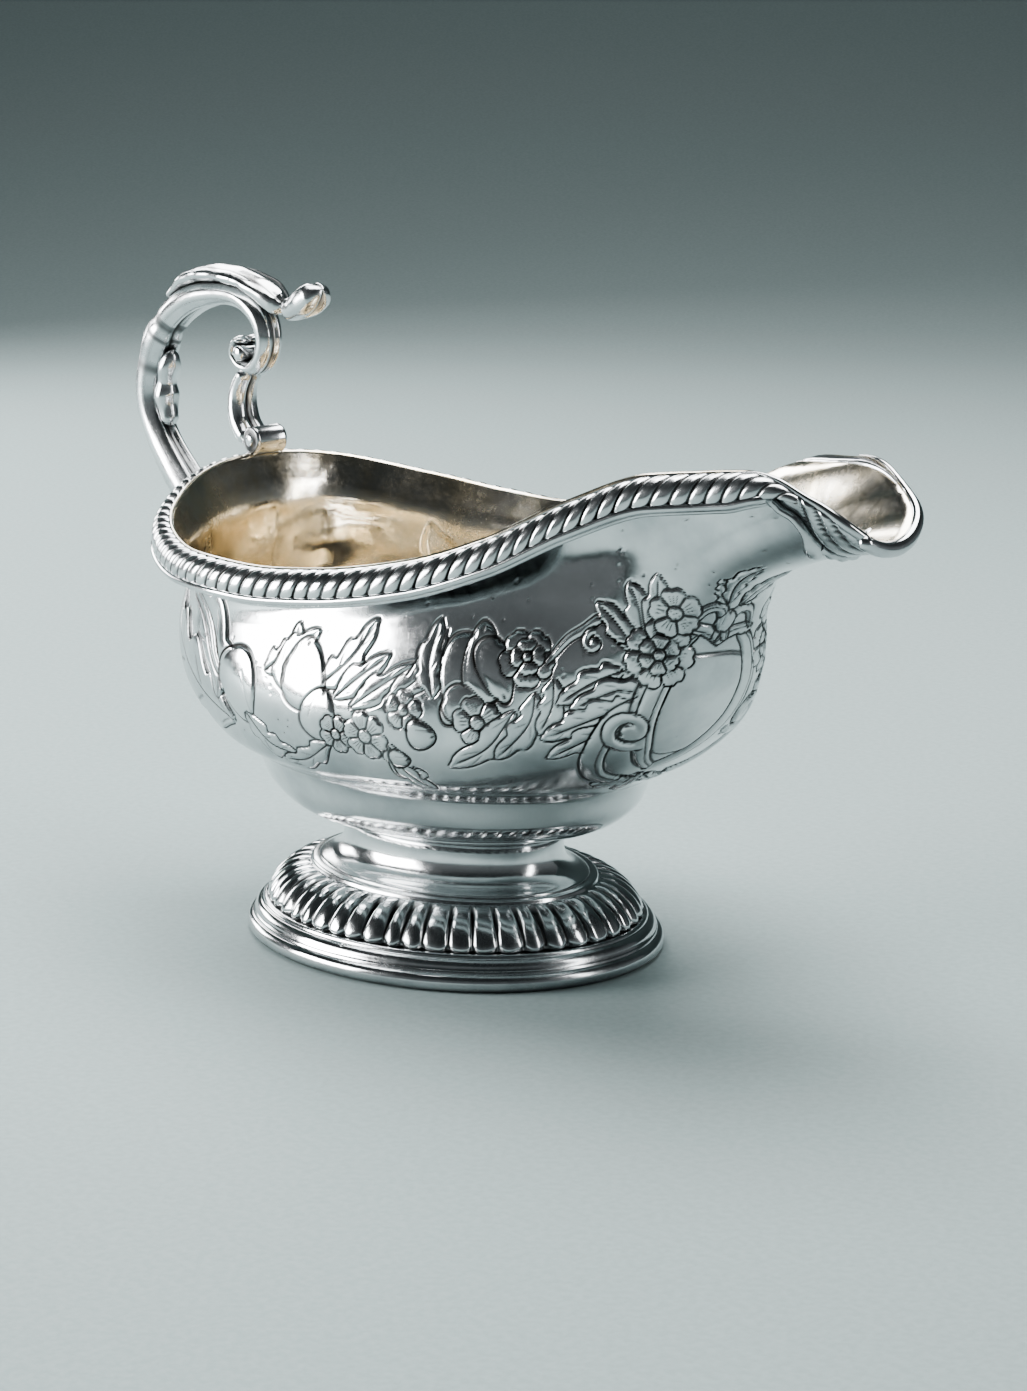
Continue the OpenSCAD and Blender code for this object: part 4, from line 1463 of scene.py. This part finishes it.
@dataclass
class OvalFoot:
    """The oval spreading foot: base, lobed dome and neck."""

    half_length: float = 42.3
    half_width: float = 34.6
    lobes: int = 50
    lobe_height: float = 1.0
    around: int = 800
    base: Sequence[Sequence[float]] = (
        (4.6, 0), (1.6, 0), (.9, .08), (.35, .45), (.06, 1.0), (0, 1.6), (.1, 2.25), (.45, 2.8), (1.0, 3.1),
        (1.25, 3.12), (1.3, 3.2), (1.3, 3.55), (1.42, 3.65), (1.5, 3.7), (1.55, 4.3), (1.75, 4.75), (2.1, 5.15),
        (2.6, 5.4), (2.95, 5.45), (3.0, 5.6), (3.05, 5.85), (3.25, 6.05), (3.55, 6.1), (3.9, 6.0), (4.4, 5.9),
        (5.6, 5.9), (5.2, 4), (4.6, 2))
    dome: Sequence[Sequence[float]] = (
        (5.6, 5.7, 0), (4.3, 5.9, .3), (4.05, 6.5, .7), (4.3, 7.2, .95), (4.9, 8.2, 1), (5.6, 9.1, 1), (6.5, 10, 1),
        (7.5, 10.8, .95), (8.6, 11.45, .85), (9.6, 11.9, .7), (10.6, 12.2, .5), (11.4, 12.35, .25), (11.8, 12.4, 0),
        (11.9, 12.5, 0), (11.95, 12.9, 0), (12.15, 13.15, 0), (12.5, 13.25, 0), (13.6, 13.25, 0), (17.8, 13.2, 0),
        (17.8, 11.8, 0), (12.4, 11.0, 0), (8.4, 8.9, 0), (6.2, 6.4, 0))
    neck: Sequence[Sequence[float]] = (
        (13.4, 13.25), (13.6, 13.5), (13.9, 13.7), (14.8, 13.95), (15.8, 14.35), (16.7, 14.95), (17.4, 15.75),
        (17.9, 16.8), (18.15, 18), (18.2, 19), (18.1, 20), (17.8, 20.9), (17.3, 21.6), (17.0, 21.75), (16.7, 21.9),
        (16.3, 22.2), (16.3, 22.5), (18.8, 22.5), (19.6, 19), (19.4, 16), (17.4, 13.3))

    def ring(self, inset: Array, height: Array, swell: Array) -> Array:
        """Points of an oval ring for each place round it.

        Args:
            inset: How far each point lies in from the edge of the foot.
            height: Height of each point.
            swell: How far each point is pushed out.

        Returns:
            The points.
        """
        turn = np.linspace(0, 2 * np.pi, self.around, endpoint=False)[None]
        a, b = self.half_length - inset + swell, self.half_width - inset + swell
        return np.stack([a * np.cos(turn), b * np.sin(turn), np.broadcast_to(height, a.shape)], -1)

    def phase(self) -> Array:
        """Lobe count at each place round the foot, even along its edge."""
        turn = np.linspace(0, 2 * np.pi, 4001)
        a, b = self.half_length - 8, self.half_width - 8
        length = lengths(np.stack([a * np.cos(turn), b * np.sin(turn)], -1))
        here = np.interp(np.linspace(0, 2 * np.pi, self.around, endpoint=False), turn, length / length[-1])
        count = here * self.lobes
        return count + 0.12 * np.sin(2.1 * count) * np.sin(np.pi * here) + 0.07 * np.sin(5.3 * count)

    def turned(self, rows: Sequence[Sequence[float]]) -> Skin:
        """A plain oval moulding that follows a closed profile.

        Args:
            rows: Inset and height of each corner of the profile.

        Returns:
            The skin of the moulding.
        """
        profile = np.array(rows)
        zero = np.zeros((1, self.around))
        rings = np.stack([self.ring(r[0] + zero, r[1] + zero, zero)[0] for r in profile])
        return self.closed(rings, np.zeros(rings.shape[:2]))

    @staticmethod
    def closed(rings: Array, marks: Array) -> Skin:
        """A skin that runs round the profile and round the foot.

        Args:
            rings: Points in rings, one for each corner of the profile.
            marks: Marks of the points.

        Returns:
            The closed skin.
        """
        count, sides = rings.shape[:2]
        i, j = np.meshgrid(np.arange(count), np.arange(sides), indexing="ij")
        n, k = (i + 1) % count, (j + 1) % sides
        quads = np.stack([i * sides + j, i * sides + k, n * sides + k, n * sides + j], -1).reshape(-1, 4)
        skin = Skin(rings.reshape(-1, 3), quads, np.zeros((0, 3), int), marks.ravel())
        return skin.outward()

    def build(self) -> None:
        """Makes the three parts of the foot."""
        material = finish_material(Finish.FOOT)
        place("foot_moulded_base", self.turned(self.base), material, ["foot_base"])
        place("foot_neck_moulding", self.turned(self.neck), material, ["foot_neck"])
        rows = np.array(self.dome)
        top, under = rows[:13], rows[13:]
        fine = along(top, np.linspace(0, 1, 46))
        profile = np.concatenate([fine, under])
        part = np.mod(self.phase(), 1)[None]
        s = np.concatenate([np.linspace(0, 1, len(fine)), np.full(len(under), 2.0)])[:, None]
        share = profile[:, 2:3]
        across = np.abs(2 * part - 1)
        narrow = 0.72 + 0.28 * ramp(s, 0.95, 0.3)
        lobe = np.sqrt(np.clip(1 - (across / narrow) ** 2.4, 0, 1))
        tip = ramp(s, 0.3, 0.0)
        lobe = lobe * (1 - 0.5 * tip * across ** 2)
        swell = self.lobe_height * share * (lobe - 0.7) - 1.9 * tip * across ** 2.4 * share
        lift = 0.6 * share * (lobe - 0.6) * ramp(s, 0.1, 0.5) + 1.3 * tip * across ** 2.4 * share
        rings = self.ring(profile[:, 0:1] + 0 * part, profile[:, 1:2] + lift, swell)
        marks = np.clip(share * ramp(across / narrow, 0.78, 1.0) * 0.9, 0, 1) * (s < 1.5)
        rings[0, :, 2] = rows[0, 1]
        place("foot_lobed_dome", self.closed(rings, marks), material, ["foot_dome"])


# ---------------------------------------------------------------- studio

@dataclass
class Studio:
    """Pale floor, soft lights and the camera."""

    azimuth: float = 50.5
    elevation: float = 12.2
    roll: float = 0.3
    distance: float = 0.6219
    aim: tuple[float, float, float] = (-0.0001, 0.00851, 0.04374)
    lens: float = 89.9
    sensor: float = 36.0
    lit_height: float = 0.05
    look: str = "AgX - Medium High Contrast"

    def floor(self) -> None:
        """Lays the paper on the table and curves it up far behind."""
        rows = 24
        turn = np.linspace(0.05, np.pi / 2, rows)
        flat, bend = 0.9, 1.6
        reach = np.concatenate([np.linspace(-3, flat, rows), flat + bend * np.sin(turn), [flat + bend]])
        rise = np.concatenate([np.zeros(rows), bend - bend * np.cos(turn), [bend + 2.0]])
        way = self.direction(0.0)
        side = np.array([-way[1], way[0], 0])
        spread = np.linspace(-4, 4, 9)
        points = (-way)[None, None] * reach[:, None, None] + side * spread[None, :, None]
        points[..., 2] = rise[:, None] - 0.00005
        count = len(spread)
        faces = [(i * count + j, (i + 1) * count + j, (i + 1) * count + j + 1, i * count + j + 1)
                 for i in range(len(reach) - 1) for j in range(count - 1)]
        mesh = bpy.data.meshes.new("paper")
        mesh.from_pydata(points.reshape(-1, 3).tolist(), [], faces)
        mesh.shade_smooth()
        mesh.materials.append(ClothFinish().material())
        paper = bpy.data.objects.new("paper", mesh)
        bpy.context.scene.collection.objects.link(paper)

    def direction(self, elevation: float) -> Array:
        """Direction from the boat to the camera at an elevation in degrees."""
        a, e = math.radians(self.azimuth), math.radians(elevation)
        return np.array([math.sin(a) * math.cos(e), -math.cos(a) * math.cos(e), math.sin(e)])

    def camera(self) -> None:
        """Sets the camera at its viewing angle."""
        back = self.direction(self.elevation)
        data = bpy.data.cameras.new("camera")
        data.lens, data.sensor_width = self.lens, self.sensor
        data.clip_start, data.clip_end = 0.01, 20
        camera = bpy.data.objects.new("camera", data)
        camera.location = Vector(self.aim) + Vector(back) * self.distance
        turn = (-Vector(back)).to_track_quat("-Z", "Y")
        camera.rotation_mode = "QUATERNION"
        turn.rotate(Quaternion(Vector(back), math.radians(-self.roll)))
        camera.rotation_quaternion = turn
        bpy.context.scene.collection.objects.link(camera)
        bpy.context.scene.camera = camera

    def light(self, name: str, way: Sequence[float], distance: float, size: tuple[float, float],
              power: float) -> None:
        """Hangs a soft light.

        Args:
            name: Name of the light.
            way: Direction from the boat.
            distance: Distance in metres.
            size: Width and height in metres.
            power: Power in watts.
        """
        data = bpy.data.lights.new(name, "AREA")
        data.shape, data.size, data.size_y = "RECTANGLE", size[0], size[1]
        data.energy = power
        lamp = bpy.data.objects.new(name, data)
        aim = Vector((0, 0, self.lit_height))
        lamp.location = aim + Vector(way).normalized() * distance
        lamp.rotation_euler = (aim - lamp.location).to_track_quat("-Z", "Y").to_euler()
        bpy.context.scene.collection.objects.link(lamp)

    def surround(self) -> None:
        """Fills the room with a grey that is darker above."""
        world = bpy.data.worlds.new("room")
        world.use_nodes = True
        tree = world.node_tree
        tree.nodes.clear()
        where = tree.nodes.new("ShaderNodeTexCoord")
        split = tree.nodes.new("ShaderNodeSeparateXYZ")
        shades = tree.nodes.new("ShaderNodeValToRGB")
        spread = tree.nodes.new("ShaderNodeMapRange")
        back = tree.nodes.new("ShaderNodeBackground")
        out = tree.nodes.new("ShaderNodeOutputWorld")
        spread.inputs["From Min"].default_value = -1.0
        ramp_of = shades.color_ramp
        ramp_of.elements[0].position, ramp_of.elements[0].color = 0.3, (0.16, 0.18, 0.18, 1)
        ramp_of.elements[1].position, ramp_of.elements[1].color = 0.78, (0.035, 0.04, 0.042, 1)
        middle = ramp_of.elements.new(0.52)
        middle.color = (0.16, 0.175, 0.18, 1)
        tree.links.new(where.outputs["Generated"], split.inputs[0])
        tree.links.new(split.outputs["Z"], spread.inputs["Value"])
        tree.links.new(spread.outputs[0], shades.inputs[0])
        tree.links.new(shades.outputs[0], back.inputs[0])
        tree.links.new(back.outputs[0], out.inputs[0])
        bpy.context.scene.world = world
        bpy.context.scene.view_settings.look = self.look

    def build(self) -> None:
        """Makes the whole studio."""
        self.floor()
        self.camera()
        self.light("key_softbox", (-0.6, -0.76, 0.2), 0.8, (0.5, 0.34), 9)
        self.light("top_softbox", (-0.15, 0.15, 1.0), 0.8, (0.66, 0.66), 11)
        self.light("side_softbox", (-1.0, -0.02, 0.16), 0.9, (0.3, 0.2), 2.4)
        self.light("edge_strip", (0.95, 0.35, 0.4), 0.9, (0.12, 0.6), 2.2)
        self.light("back_strip", (-0.95, 0.45, 0.55), 0.9, (0.2, 0.5), 2.6)
        self.surround()


def main() -> None:
    """Builds the boat and its studio in order."""
    logging.basicConfig(level=logging.INFO, format="%(message)s")
    surface = BowlSurface()
    Bowl(surface).build()
    Lip(surface).build()
    for side in (-1, 1):
        RimBorder(surface, side).build()
    Handle(surface).build()
    OvalFoot().build()
    Studio().build()


if __name__ == "__main__":
    main()
